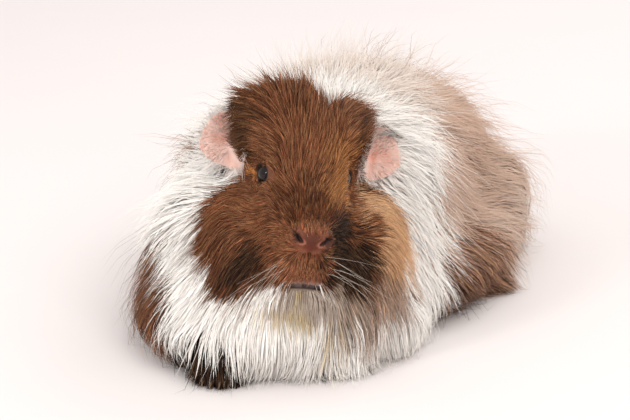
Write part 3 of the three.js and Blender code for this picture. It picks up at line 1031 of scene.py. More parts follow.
COMBS = [
    # face
    Comb(HEAD, (0, -44, -5), (0, 0.5, 1), 3.2, 0.34, 0.7, 0, 7, 0.1),
    Comb(HEAD, (-9, -43, -14), (-1, 0.3, 0.1), 2.8, 0.32, 0.6, 0, 6, 0.1),
    Comb(HEAD, (9, -43, -14), (1, 0.3, 0.1), 2.8, 0.32, 0.6, 0, 6, 0.1),
    Comb(HEAD, (0, -46, -22), (0, 0, -1), 2.6, 0.32, 0.6, 0, 6, 0.1),
    Comb(HEAD, (0, -46, -27), (0, 0, -1), 1.7, 0.28, 0.5, 0, 5, 0.1),
    Comb(HEAD, (0, -44, -35), (0, 0, -1), 4.0, 0.3, 0.6, 0.2, 5, 0.1),
    Comb(HEAD, (0, -44, -39), (-0.2, 0, -1), 7.0, 0.34, 0.8, 0.3, 8, 0.15),
    Comb(HEAD, (-12, -42, -26), (-0.7, 0.2, -0.8), 5.5, 0.38, 0.8, 0.1, 8),
    Comb(HEAD, (12, -42, -26), (0.8, 0.2, -0.6), 5.5, 0.38, 0.8, 0.1, 8),
    Comb(HEAD, (0, -37, 4), (0, 0.5, 1), 5.5, 0.4, 0.8, 0, 8),
    Comb(HEAD, (-12, -30, 2), (-0.5, 0.6, 0.6), 6.5, 0.4, 0.8, 0, 9),
    Comb(HEAD, (13, -30, 2), (0.5, 0.6, 0.6), 6.5, 0.4, 0.8, 0, 9),
    Comb(HEAD, (-4, -24, 20), (-0.15, 0.4, 1), 9, 0.44, 1.0, 0, 12),
    Comb(HEAD, (8, -22, 22), (0.15, 0.4, 1), 9, 0.44, 1.0, 0, 12),
    Comb(HEAD, (-18, -16, 16), (-0.8, 0.4, 0.5), 9, 0.44, 0.9, 0, 9),
    Comb(HEAD, (18, -16, 16), (0.7, 0.4, 0.7), 9, 0.44, 0.9, 0, 9),
    Comb(HEAD, (-19, -13, 3), (-0.9, 0.5, -0.1), 3.2, 0.32, 0.5, 0, 6, 0.08),
    Comb(HEAD, (19, -13, 3), (0.9, 0.5, -0.1), 4.2, 0.34, 0.7, 0, 6, 0.08),
    Comb(HEAD, (-23, -3, 1), (-0.8, 0.5, 0.1), 5, 0.36, 0.7, 0, 6),
    Comb(HEAD, (-24, -2, 17), (-0.8, 0.1, -0.3), 9, 0.4, 1.4, 0.2, 9, 0.25),
    Comb(HEAD, (28, 0, 14), (1, 0.35, 0.25), 10, 0.46, 1.1, 0, 10),
    Comb(HEAD, (-4, -4, 38), (-0.15, 0.4, 1), 17, 0.46, 2.0, 0, 13, 0.3),
    Comb(HEAD, (-22, -2, 34), (-1, 0.1, 0.7), 19, 0.42, 2.5, 0, 9, 0.35),
    Comb(HEAD, (-12, -4, 38), (-0.45, 0.2, 1), 17, 0.42, 2.2, 0, 8, 0.35),
    Comb(HEAD, (24, -2, 30), (0.8, 0.3, 0.65), 16, 0.46, 1.7, 0, 11, 0.3),
    Comb(HEAD, (0, 15, 35), (0, 1, 0.1), 15, 0.44, 0.9, 0.1, 12, 0.25),
    Comb(HEAD, (-20, 16, 28), (-0.5, 0.9, 0.1), 15, 0.44, 1.0, 0.1, 10, 0.25),
    Comb(HEAD, (-22, -22, -8), (-0.5, 0.6, -0.5), 7, 0.4, 0.6, 0.1, 11),
    Comb(HEAD, (24, -20, -6), (0.6, 0.6, -0.4), 7, 0.4, 0.6, 0.1, 11),
    Comb(HEAD, (-24, -34, -22), (-0.55, 0.2, -0.85), 8, 0.4, 0.7, 0.2, 9),
    Comb(HEAD, (25, -34, -22), (0.7, 0.2, -0.7), 8, 0.4, 0.7, 0.2, 10),
    Comb(HEAD, (-21, -40, -32), (-0.35, -0.1, -1), 12, 0.42, 1.2, 0.5, 8, 0.2),
    Comb(HEAD, (-32, -32, -32), (-0.15, 0, -1), 13, 0.42, 1.2, 0.5, 9, 0.2),
    Comb(HEAD, (24, -38, -32), (0.4, -0.1, -1), 11, 0.42, 1.1, 0.5, 8, 0.2),
    Comb(HEAD, (-38, -14, -24), (-0.1, 0.1, -1), 14, 0.44, 1.0, 0.3, 12),
    Comb(HEAD, (44, -8, -20), (0.35, 0.4, -1), 10, 0.44, 0.7, 0.3, 13),
    Comb(HEAD, (-28, -22, -40), (-0.15, 0, -1), 15, 0.48, 1.1, 0.8, 12, 0.2),
    Comb(HEAD, (34, -22, -36), (0.4, 0.1, -1), 14, 0.48, 1.1, 0.8, 12, 0.2),
    Comb(HEAD, (0, -40, -40), (0, 0.2, -1), 7, 0.42, 0.9, 0.3, 9),
    # collar and bib
    Comb(BODY, (-4, -52, 104), (-0.2, 0.5, 0.8), 24, 0.44, 1.2, 0, 20, 0.35),
    Comb(BODY, (-40, -60, 84), (-1, 0.1, 0.2), 33, 0.42, 2.3, 0, 18, 0.4),
    Comb(BODY, (-46, -86, 64), (-1, 0, -0.2), 31, 0.44, 2.1, 0.1, 17, 0.35),
    Comb(BODY, (-44, -106, 42), (-0.3, 0, -1), 25, 0.44, 0.9, 0.4, 19, 0.25),
    Comb(BODY, (-22, -132, 26), (-0.2, -0.1, -1), 23, 0.44, 1.0, 0.5, 18, 0.25),
    Comb(BODY, (12, -138, 24), (-0.05, -0.1, -1), 21, 0.44, 1.0, 0.5, 18, 0.25),
    Comb(BODY, (42, -114, 24), (0.45, -0.1, -1), 27, 0.44, 1.3, 0.6, 17, 0.25),
    Comb(BODY, (36, -54, 92), (0.9, 0.4, 0.1), 26, 0.44, 1.2, 0, 18, 0.3),
    Comb(BODY, (56, -56, 66), (0.6, 0.35, -0.8), 29, 0.44, 1.1, 0.3, 18, 0.3),
    Comb(BODY, (62, -66, 36), (0.4, 0.2, -1), 28, 0.44, 1.1, 0.5, 18, 0.3),
    Comb(BODY, (-20, -140, 8), (-0.1, -0.5, -0.8), 9, 0.44, 0.9, 0.3, 9, 0.2),
    Comb(BODY, (10, -138, 8), (0.1, -0.5, -0.8), 9, 0.44, 0.9, 0.3, 10, 0.2),
    Comb(BODY, (38, -120, 7), (0.4, -0.4, -0.8), 9, 0.44, 0.9, 0.3, 10, 0.2),
    Comb(BODY, (24, -124, 19), (0.1, -0.6, -0.8), 23, 0.44, 1.9, 0.6, 11, 0.2),
    Comb(BODY, (40, -112, 17), (0.35, -0.6, -0.8), 23, 0.44, 1.9, 0.6, 12, 0.2),
    # trunk
    Comb(BODY, (-14, -26, 100), (-0.5, 0.6, 0.5), 26, 0.44, 1.6, 0, 15, 0.45),
    Comb(BODY, (14, -20, 102), (0.1, 0.8, 0.5), 28, 0.44, 1.6, 0, 15, 0.45),
    Comb(BODY, (44, 4, 94), (0.9, 0.3, 0.25), 30, 0.44, 1.4, 0, 20, 0.45),
    Comb(BODY, (64, -8, 70), (0.9, 0.4, -0.3), 30, 0.44, 1.3, 0.1, 20, 0.4),
    Comb(BODY, (74, -14, 34), (0.6, 0.5, -0.7), 28, 0.44, 1.1, 0.3, 22, 0.3),
    Comb(BODY, (72, 50, 44), (0.5, 0.8, -0.4), 33, 0.44, 1.2, 0.3, 28, 0.35),
    Comb(BODY, (-56, -28, 76), (-0.9, 0.5, -0.1), 30, 0.44, 1.2, 0.1, 20, 0.35),
    Comb(BODY, (-66, -66, 30), (-0.3, 0.2, -1), 26, 0.44, 0.7, 0.5, 18, 0.25),
    Comb(BODY, (-70, -30, 40), (-0.5, 0.5, -0.8), 28, 0.44, 0.9, 0.4, 22, 0.3),
    Comb(BODY, (-72, 40, 44), (-0.4, 0.8, -0.5), 33, 0.44, 1.1, 0.3, 28, 0.35),
    Comb(BODY, (0, 34, 110), (0, 1, 0.1), 32, 0.44, 1.1, 0, 26, 0.4),
    Comb(BODY, (0, 90, 92), (0, 1, -0.3), 34, 0.44, 1.0, 0.2, 30, 0.35),
    Comb(BODY, (0, 138, 46), (0, 0.4, -1), 34, 0.44, 1.0, 0.5, 30, 0.3),
    Comb(BODY, (60, 100, 16), (0.5, 0.5, -0.8), 28, 0.44, 1.0, 0.5, 26, 0.3),
    Comb(BODY, (-60, 100, 16), (-0.5, 0.5, -0.8), 28, 0.44, 1.0, 0.5, 26, 0.3),
    # feet
    Comb(BODY, (-14, -130, 9), (0, -1, -0.3), 8, 0.4, 1.0, 0.4, 8, 0.15),
    Comb(BODY, (30, -107, 8), (0.4, -1, -0.1), 6, 0.4, 0.8, 0.3, 7, 0.1),
    Comb(BODY, (-64, 20, 6), (0.2, -1, -0.1), 5, 0.42, 0.8, 0.1, 10, 0.1),
    Comb(BODY, (62, 20, 6), (-0.2, -1, -0.1), 5, 0.42, 0.8, 0.1, 10, 0.1),
]


@dataclass
class Grooming:
    """What the combs say at some points, one row each."""

    flow: Array
    length: Array
    width: Array
    lift: Array
    droop: Array
    frizz: Array


class Coiffure:
    """The lie of the whole coat, blended from the combs."""

    def __init__(self) -> None:
        """Gather the combs into arrays."""
        self.at = np.array([comb.frame_of.world(np.array(comb.at, float)) for comb in COMBS])
        self.toward = np.array([unit(comb.frame_of.aim(comb.toward)) for comb in COMBS])
        self.reach = np.array([comb.reach for comb in COMBS])
        names = ("length", "width", "lift", "droop", "frizz")
        self.traits = np.array([[getattr(comb, name) for name in names] for comb in COMBS])

    def _shares(self, points: Array) -> Array:
        """Weigh every comb at every point.

        Args:
            points: Rows of x, y, z.

        Returns:
            A row of shares for each point, with a sum of 1.
        """
        apart = size_of(points[:, None] - self.at[None]) / self.reach
        weights = 1 / (apart**4 + 0.03)
        return weights / weights.sum(1, keepdims=True)

    def flow(self, points: Array) -> Array:
        """Give the way that the hair points, not yet laid on the skin."""
        return unit(self._shares(points) @ self.toward)

    def groom(self, points: Array) -> Grooming:
        """Give everything that the combs say at some points."""
        shares = self._shares(points)
        return Grooming(unit(shares @ self.toward), *(shares @ self.traits).T)


COIFFURE = Coiffure()


# ---- locks of hair --------------------
@dataclass
class Locks:
    """Many locks of hair: each one's middle line, the skin's directions along it, its width, colour and place
    on the coat's map."""

    lines: Array
    normals: Array
    widths: Array
    colours: Array
    patches: Array


LOCK_PROFILE = ((0, 0.35, 0.75, 1), (0.85, 1.0, 0.6, 0.0))  # places along a lock, and its width there
LOCK_FLATNESS = 0.7  # a lock's thickness over its width
BAKE_PATCH = 0.003  # size of a lock's place on the coat's map
REINS = ((0, 88.0, 9.0), (1, 157.0, 9.0), (2, 123.0, 8.0))  # for each axis, hair's reach and its give
ROOT_DEPTH = 0.35  # how far the locks start under the skin
ROOM = (0.5, 26)  # least and most height that the coat gives a lock
GROUND = 0.25  # how high hair that meets the floor stays above it


def reined_in(points: Array) -> Array:
    """Bend hair that reaches far to the side or up back towards the body.

    Args:
        points: Rows of x, y, z.

    Returns:
        The bent points.
    """
    bent = points.copy()
    for axis, most, give in REINS:
        reach = np.abs(points[..., axis])
        over = np.maximum(reach - (most - give), 0)
        bent[..., axis] = np.sign(points[..., axis]) * (reach - over + give * np.tanh(over / give))
    return bent


def grow(
    roots: Array,
    normals: Array,
    groom: Grooming,
    rings: int,
    stand: Array,
    rng: np.random.Generator,
) -> tuple[Array, Array]:
    """Lead each lock from its root along the lie of the coat, never into the skin.

    Args:
        roots: Points on the skin.
        normals: The skin's directions there.
        groom: The lie, length and lift of each lock.
        rings: How many points the lock has along it, with its tip.
        stand: How much each lock leans outward instead of lying down, 0 to 1.
        rng: Source of random numbers.

    Returns:
        The points of the middle lines, and the outward direction at each.
    """
    count = len(roots)
    room = np.clip(-ANATOMY.coat(roots), *ROOM)
    height = room * groom.lift * rng.uniform(0.25, 1.0, count)
    steps = 2 * (rings - 1)
    stride = groom.length[:, None] / steps
    curl_across = Waves(17, SEED + 11)
    curl_along = Waves(17, SEED + 12)
    crimp = Waves(5, SEED + 13)
    side_sway = rng.normal(size=(count, 3)) * groom.frizz[:, None]
    at = roots - normals * ROOT_DEPTH
    tangent = unit(groom.flow - normals * (groom.flow * normals).sum(-1, keepdims=True))
    rise = np.clip(1.5 * height / np.maximum(groom.length, 1e-3), 0.12, 1.6)
    heading = unit(tangent + normals * (rise + stand * 0.8)[:, None])
    lines = [at]
    outward = [normals]
    for step in range(1, steps + 1):
        t = step / steps
        flow = COIFFURE.flow(at)
        here, out = Anatomy.slope(smooth_skin, at)
        across = np.cross(out, flow)
        sway = curl_across(at)[:, None] * across + curl_along(at)[:, None] * flow * 0.3
        sway = sway + crimp(at)[:, None] * across * 0.4
        along = flow - out * (flow * out).sum(-1, keepdims=True) * 0.85
        wish = unit(along) + sway * (0.1 + 0.6 * groom.frizz[:, None]) + side_sway * 0.5
        wish = wish + DOWN * (groom.droop * t)[:, None]
        target = height * (1 - math.exp(-3.2 * t))
        pull = np.clip((target - here) / np.maximum(groom.length * 0.35, 1), -0.5, 0.9)
        pull = pull * (1 - stand) + 0.7 * stand
        wish = wish + out * pull[:, None]
        heading = unit(heading * 0.55 + unit(wish) * 0.6)
        at = at + heading * stride
        here = smooth_skin(at)
        least = np.minimum(target * 0.5, 1.2) * min(1.0, 3 * t)
        at = at + out * np.maximum(least - here, 0)[:, None]
        at[:, 2] = np.maximum(at[:, 2], GROUND + 0.15 * rng.random(count))
        if step % 2 == 0:
            lines.append(at)
            outward.append(out)
    return reined_in(np.stack(lines, 1)), np.stack(outward, 1)


@dataclass(frozen=True)
class Clearing:
    """How wide the hair leaves the eyes, the nostrils and the mouth open, and how few locks cross an ear."""

    ball: float = 5.9
    view: float = 14.0
    view_half: tuple[float, float] = (2.3, 3.3)
    nostril: float = 2.4
    mouth: float = 0.75
    mouth_narrowing: float = 0.06
    mouth_front: float = -38.0
    ear: float = 0.9
    stray: float = 0.25


CLEARING = Clearing()


def out_of_the_way(lines: Array, on_ear: Array, chance: Array) -> Array:
    """Say which locks leave the eyes, the nostrils, the mouth and the cups of the ears open.

    Args:
        lines: The middle line of each lock.
        on_ear: Whether each lock grows on an ear.
        chance: A number from 0 to 1 each: a few stray locks may cross an ear.

    Returns:
        True for each lock that stays.
    """
    count = len(lines)
    share = np.array((0.0, 0.25, 0.5, 0.75))[:, None]
    dense = (lines[:, :-1, None] * (1 - share) + lines[:, 1:, None] * share).reshape(count, -1, 3)
    points = np.concatenate([dense, lines[:, -1:]], 1)
    flat = points.reshape(-1, 3)
    hides = np.zeros(len(flat), bool)
    for eye in EYES:
        hides |= size_of(flat - eye.place.at) < CLEARING.ball
        away = eye.place.local(flat) - (eye.side * 3.1, -2.6, 0.5)
        far = away @ eye.view
        aside = away - far[:, None] * eye.view
        tall = aside @ np.array((eye.side * -0.42, 0, 0.91))
        wide = np.sqrt(np.maximum((aside * aside).sum(-1) - tall * tall, 0))
        half_wide, half_tall = CLEARING.view_half
        hides |= (far > 0) & (far < CLEARING.view) & ((wide / half_wide) ** 2 + (tall / half_tall) ** 2 < 1)
    for side in SIDES:
        nostril = Anatomy.NOSE.world(np.array((side * 5.2, -4.6, 0.5)))
        hides |= size_of(flat - nostril) < CLEARING.nostril
    across, ahead, up = HEAD.local(flat).T
    opening = CLEARING.mouth - CLEARING.mouth_narrowing * np.abs(across)
    hides |= (np.abs(up - Anatomy.mouth_line(across)) < opening) & (ahead < CLEARING.mouth_front)
    stays = ~hides.reshape(count, -1).any(1)
    crosses = np.zeros(len(flat), bool)
    for ear in EARS:
        across, up, ahead = ear.shape(flat)
        cup = (across > -0.3) & (up > -0.35) & (np.hypot(across, up) < CLEARING.ear)
        crosses |= cup & (ahead < -0.4) & (ahead > -20)
    crosses = crosses.reshape(count, -1)[:, 1:].any(1)
    return stays & (on_ear | ~crosses | (chance < CLEARING.stray))


def straight_hair(
    roots: Array,
    normals: Array,
    lie: Array,
    lengths: Array,
    rings: int,
    rng: np.random.Generator,
) -> Array:
    """Draw short hair that keeps its own heading, for the ears and the lids.

    Args:
        roots: Points on the skin.
        normals: The skin's directions there.
        lie: Where each hair points.
        lengths: How long each is.
        rings: How many points each has along it.
        rng: Source of random numbers.

    Returns:
        The middle lines.
    """
    heading = unit(normals * 0.5 + lie * 0.7 + rng.normal(size=roots.shape) * 0.22)
    along = np.linspace(0, 1, rings)[None, :, None]
    sag = np.array((0.0, 0.0, -0.25)) * lengths[:, None, None] * along**2
    return roots[:, None] - normals[:, None] * 0.2 + heading[:, None] * lengths[:, None, None] * along + sag


def new_mesh(name: str, points: Array, corners: Array, sizes: Array) -> bpy.types.Mesh:
    """Make a smooth mesh.

    Args:
        name: The mesh's name.
        points: Rows of x, y, z.
        corners: The numbers of the points at each face's corners, face after face.
        sizes: How many corners each face has.

    Returns:
        The mesh, in metres.
    """
    mesh = bpy.data.meshes.new(name)
    mesh.vertices.add(len(points))
    mesh.vertices.foreach_set("co", (points * MM).astype(np.float32).ravel())
    mesh.loops.add(len(corners))
    mesh.loops.foreach_set("vertex_index", corners.astype(np.int32))
    mesh.polygons.add(len(sizes))
    mesh.polygons.foreach_set("loop_start", (np.cumsum(sizes) - sizes).astype(np.int32))
    mesh.polygons.foreach_set("use_smooth", np.ones(len(sizes), bool))
    mesh.update(calc_edges=True)
    return mesh


def triangle_mesh(name: str, points: Array, triangles: Array) -> bpy.types.Mesh:
    """Make a smooth mesh of triangles, from points in mm and rows of three point numbers."""
    return new_mesh(name, points, triangles.ravel(), np.full(len(triangles), 3))


def add_object(name: str, data: bpy.types.ID) -> bpy.types.Object:
    """Put a mesh, a lamp or a camera into the scene.

    Args:
        name: The object's name.
        data: What it shows.

    Returns:
        The object, at the origin.
    """
    made = bpy.data.objects.new(name, data)
    bpy.context.scene.collection.objects.link(made)
    return made


def closed_tube(start: int, rings: int, around: int, near: int, far: int) -> list[tuple[int, int, int]]:
    """Join rings of points into a closed tube.

    Args:
        start: Number of the first ring's first point.
        rings: How many rings there are, one after another.
        around: How many points each ring has.
        near: Number of the point that closes the first ring.
        far: Number of the point that closes the last one.

    Returns:
        The triangles.
    """
    made = []
    last = start + (rings - 1) * around
    for turn in range(around):
        after = (turn + 1) % around
        made.append((start + after, near, start + turn))
        for ring in range(rings - 1):
            a = start + ring * around + turn
            b = start + ring * around + after
            made.append((a, a + around, b + around))
            made.append((a, b + around, b))
        made.append((last + turn, far, last + after))
    return made


def mesh_of_locks(name: str, locks: Locks) -> bpy.types.Object:
    """Make one mesh of three-sided closed spikes, with what their material and their bake need.

    Args:
        name: The piece's name.
        locks: The locks.

    Returns:
        The object.
    """
    count, rings, _ = locks.lines.shape
    tangent = unit(np.gradient(locks.lines, axis=1))
    side = unit(np.cross(tangent, locks.normals))
    top = unit(np.cross(side, tangent))
    place = np.linspace(0, 1, rings)
    profile = np.interp(place, *LOCK_PROFILE)
    half = locks.widths[:, None] * 0.5 * profile[None]
    angles = np.radians([90, 210, 330])
    body = rings - 1
    corners = np.zeros((count, body * 3 + 1, 3))
    corners[:, -1] = locks.lines[:, -1]
    upright = np.clip(1.3 * np.abs((tangent * locks.normals).sum(-1, keepdims=True)) - 0.05, 0, 1)
    shading = np.zeros_like(corners)
    shading[:, -1] = locks.normals[:, -1]
    for corner, angle in enumerate(angles):
        offset = side * math.cos(angle) + top * (math.sin(angle) * LOCK_FLATNESS)
        corners[:, corner : body * 3 : 3] = (locks.lines + offset * half[..., None])[:, :-1]
        spoke = side * math.cos(angle) + top * math.sin(angle)
        facing = locks.normals * (1 - 0.8 * upright) + spoke * (0.32 + 0.68 * upright)
        shading[:, corner : body * 3 : 3] = facing[:, :-1]
    per = corners.shape[1]

    quads = []
    for ring in range(body - 1):
        for corner in range(3):
            a = ring * 3 + corner
            b = ring * 3 + (corner + 1) % 3
            quads.append((a, a + 3, b + 3, b))
    last = (body - 1) * 3
    tris = [(last + 1, last, per - 1), (last + 2, last + 1, per - 1), (last, last + 2, per - 1), (0, 1, 2)]
    starts = (np.arange(count) * per)[:, None]
    quad_loops = (starts[:, None] + np.array(quads)[None]).reshape(count, -1)
    tri_loops = (starts[:, None] + np.array(tris)[None]).reshape(count, -1)
    loops = np.concatenate([quad_loops, tri_loops], 1).ravel()
    sizes = np.tile([4] * len(quads) + [3] * len(tris), count)

    along = np.append(np.repeat(place[:-1], 3), 1.0)
    patch = np.zeros((per, 2))
    patch[:, 0] = np.append(np.tile([0.0, -0.5, 0.5], body), 0.0) * BAKE_PATCH
    patch[:, 1] = (along - 0.5) * BAKE_PATCH
    patch_uv = np.clip(locks.patches[:, None] + patch[None], 0.0005, 0.9995).reshape(-1, 2)

    mesh = new_mesh(name, corners.reshape(-1, 3), loops, sizes)
    mesh.normals_split_custom_set_from_vertices(unit(shading).reshape(-1, 3).astype(np.float32))
    uv = mesh.uv_layers.new(name="OFBake")
    uv.uv.foreach_set("vector", patch_uv[loops].astype(np.float32).ravel())
    set_pelt(mesh, PELT.shaded(locks.colours, along, np.random.default_rng(count)))
    log.info("%s: %d locks, %d triangles", name, count, count * (len(quads) * 2 + len(tris)))
    return add_object(name, mesh)


def set_trait(mesh: bpy.types.Mesh, name: str, values: Array) -> None:
    """Store a number for every point of a mesh, for its finish to read."""
    trait = mesh.attributes.new(name, "FLOAT", "POINT")
    trait.data.foreach_set("value", np.asarray(values, np.float32).ravel())


def set_pelt(mesh: bpy.types.Mesh, colours: Array) -> None:
    """Store a linear colour for every point of a mesh, for its finish to read."""
    rgba = np.concatenate([colours.reshape(-1, 3), np.ones((len(mesh.vertices), 1))], 1).astype(np.float32)
    mesh.attributes.new("pelt", "FLOAT_COLOR", "POINT").data.foreach_set("color", rgba.ravel())


def unwrap(mesh: bpy.types.Mesh) -> Array:
    """Unfold a mesh by its own shape into the unit square, as a map named OFBake.

    Args:
        mesh: The mesh.

    Returns:
        The map's corners, one row for each corner of each triangle.
    """
    mesh.uv_layers.new(name="OFBake")
    holder = add_object("unfolding", mesh)
    bpy.ops.object.select_all(action="DESELECT")
    bpy.context.view_layer.objects.active = holder
    holder.select_set(True)
    bpy.ops.object.mode_set(mode="EDIT")
    bpy.ops.mesh.select_all(action="SELECT")
    bpy.ops.uv.smart_project(angle_limit=math.radians(66), island_margin=0.003)
    bpy.ops.object.mode_set(mode="OBJECT")
    bpy.data.objects.remove(holder)
    corners = np.zeros(len(mesh.loops) * 2, np.float32)
    mesh.uv_layers["OFBake"].uv.foreach_get("vector", corners)
    return corners.reshape(-1, 3, 2)


# ---- materials --------------------
def add_node(tree: bpy.types.NodeTree, kind: str, inputs: dict | None = None, **settings) -> bpy.types.Node:
    """Add a node, set it and wire it.

    Args:
        tree: The node tree.
        kind: The node's Blender type.
        inputs: For each input, a value or the output that feeds it.
        **settings: The node's own properties.

    Returns:
        The node.
    """
    node = tree.nodes.new(kind)
    for name, value in settings.items():
        setattr(node, name, value)
    for socket, value in (inputs or {}).items():
        if isinstance(value, bpy.types.NodeSocket):
            tree.links.new(value, node.inputs[socket])
        else:
            node.inputs[socket].default_value = value
    return node


@dataclass(frozen=True)
class Finish:
    """What every finish is made of: colour, mottling, grain and gloss. Sizes are in mm.

    A trait is a value stored with the mesh. Without tones it is the colour itself, and with them it, or
    else the mottling, leads from the first tone to the second.
    """

    name: str
    roughness: float = 0.5
    specular: float = 0.5
    trait: str = ""
    tones: tuple[str, ...] = ()
    mottle: float = 0.0
    uneven: float = 0.0
    grain: float = 0.0
    fineness: float = 3.0
    relief: float = 0.0
    relief_strength: float = 0.0
    glow: float = 0.0

    def material(self) -> bpy.types.Material:
        """Build the material.

        Returns:
            The material.
        """
        material = bpy.data.materials.new(self.name)
        material.use_nodes = True
        tree = material.node_tree
        tree.nodes.clear()
        place = add_node(tree, "ShaderNodeTexCoord").outputs["Object"]
        if self.mottle:
            inputs = {"Vector": place, "Scale": 1 / (self.mottle * MM), "Detail": 2.0}
            clouds = source = add_node(tree, "ShaderNodeTexNoise", inputs).outputs[0]
        if self.trait:
            stored = add_node(tree, "ShaderNodeAttribute", attribute_name=self.trait)
            colour, source = stored.outputs["Color"], stored.outputs["Fac"]
        if self.tones:
            tint = add_node(tree, "ShaderNodeValToRGB", {"Fac": source})
            for element, tone in zip(tint.color_ramp.elements, self.tones):
                element.color = (*linear(tone), 1)
            colour = tint.outputs[0]
        if self.uneven:
            spread = add_node(tree, "ShaderNodeMapRange", {0: clouds, 3: 1 - self.uneven, 4: 1 + self.uneven})
            inputs = {0: colour, "Scale": spread.outputs[0]}
            colour = add_node(tree, "ShaderNodeVectorMath", inputs, operation="SCALE").outputs[0]
        finish = {"Base Color": colour, "Roughness": self.roughness, "Specular IOR Level": self.specular}
        if self.grain:
            inputs = {"Vector": place, "Scale": 1 / (self.grain * MM), "Detail": self.fineness}
            height = add_node(tree, "ShaderNodeTexNoise", inputs).outputs[0]
            inputs = {"Height": height, "Strength": self.relief_strength, "Distance": self.relief * MM}
            finish["Normal"] = add_node(tree, "ShaderNodeBump", inputs).outputs[0]
        if self.glow:
            finish |= {"Subsurface Weight": self.glow, "Subsurface Scale": 2 * MM}
            finish["Subsurface Radius"] = (1.0, 0.4, 0.25)
        shader = add_node(tree, "ShaderNodeBsdfPrincipled", finish)
        add_node(tree, "ShaderNodeOutputMaterial", {"Surface": shader.outputs[0]})
        return material


@dataclass(frozen=True)
class HairFinish(Finish):
    """Soft hair: its own shades from root to tip, slightly glossy, and uneven over 2.4 mm or so."""

    specular: float = 0.1
    trait: str = "pelt"
    mottle: float = 2.381
    uneven: float = 0.12


@dataclass(frozen=True)
class SkinFinish(Finish):
    """The skin under the coat: the pelt's colours, softly lit from within, and a grain of very short hair.

    Such hair is a tenth as wide as the grain, which is drawn as coarse as it needs to show.
    """

    roughness: float = 0.6
    specular: float = 0.25
    trait: str = "pelt"
    mottle: float = 3.846
    uneven: float = 0.2
    grain: float = 1.111
    relief: float = 0.4
    relief_strength: float = 0.35
    glow: float = 0.12


@dataclass(frozen=True)
class EyeFinish(Finish):
    """A wet black-brown eye: the iris just shows round the pupil, with fine rays, under a glossy cornea."""

    roughness: float = 0.03
    specular: float = 0.34
    trait: str = "iris"
    tones: tuple[str, ...] = ("#090503", "#26130a")
    mottle: float = 1.4286
    uneven: float = 0.4


@dataclass(frozen=True)
class HornFinish(Finish):
    """Dull horn of the claws: dark at the root, paler at the tip, with fine ridges."""

    roughness: float = 0.38
    trait: str = "along"
    tones: tuple[str, ...] = ("#2a1c15", "#7d6652")
    grain: float = 0.6667
    fineness: float = 2.0
    relief: float = 0.2
    relief_strength: float = 0.2


@dataclass(frozen=True)
class WhiskerFinish(Finish):
    """Stiff pale whisker hair, a little glossy, that turns yellower and back every 7 mm or so."""

    roughness: float = 0.35
    specular: float = 0.4
    tones: tuple[str, ...] = ("#a8988a", "#ddd2c8")
    mottle: float = 6.667


@dataclass(frozen=True)
class FloorFinish(Finish):
    """The studio floor: plain, pale and dull, with a trace of unevenness over 170 mm or so."""

    roughness: float = 0.85
    specular: float = 0.2
    tones: tuple[str, ...] = ("#e5dfde", "#e5dfde")
    mottle: float = 166.7
    uneven: float = 0.015


# ---- the pieces --------------------
def finish_piece(piece: bpy.types.Object, material: bpy.types.Material) -> bpy.types.Object:
    """Dress a piece, and tell the frame what it rides on and takes its finish from.

    Args:
        piece: The object.
        material: What it is dressed in.

    Returns:
        The same object.
    """
    piece.data.materials.clear()
    piece.data.materials.append(material)
    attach(piece, "root")
    return piece


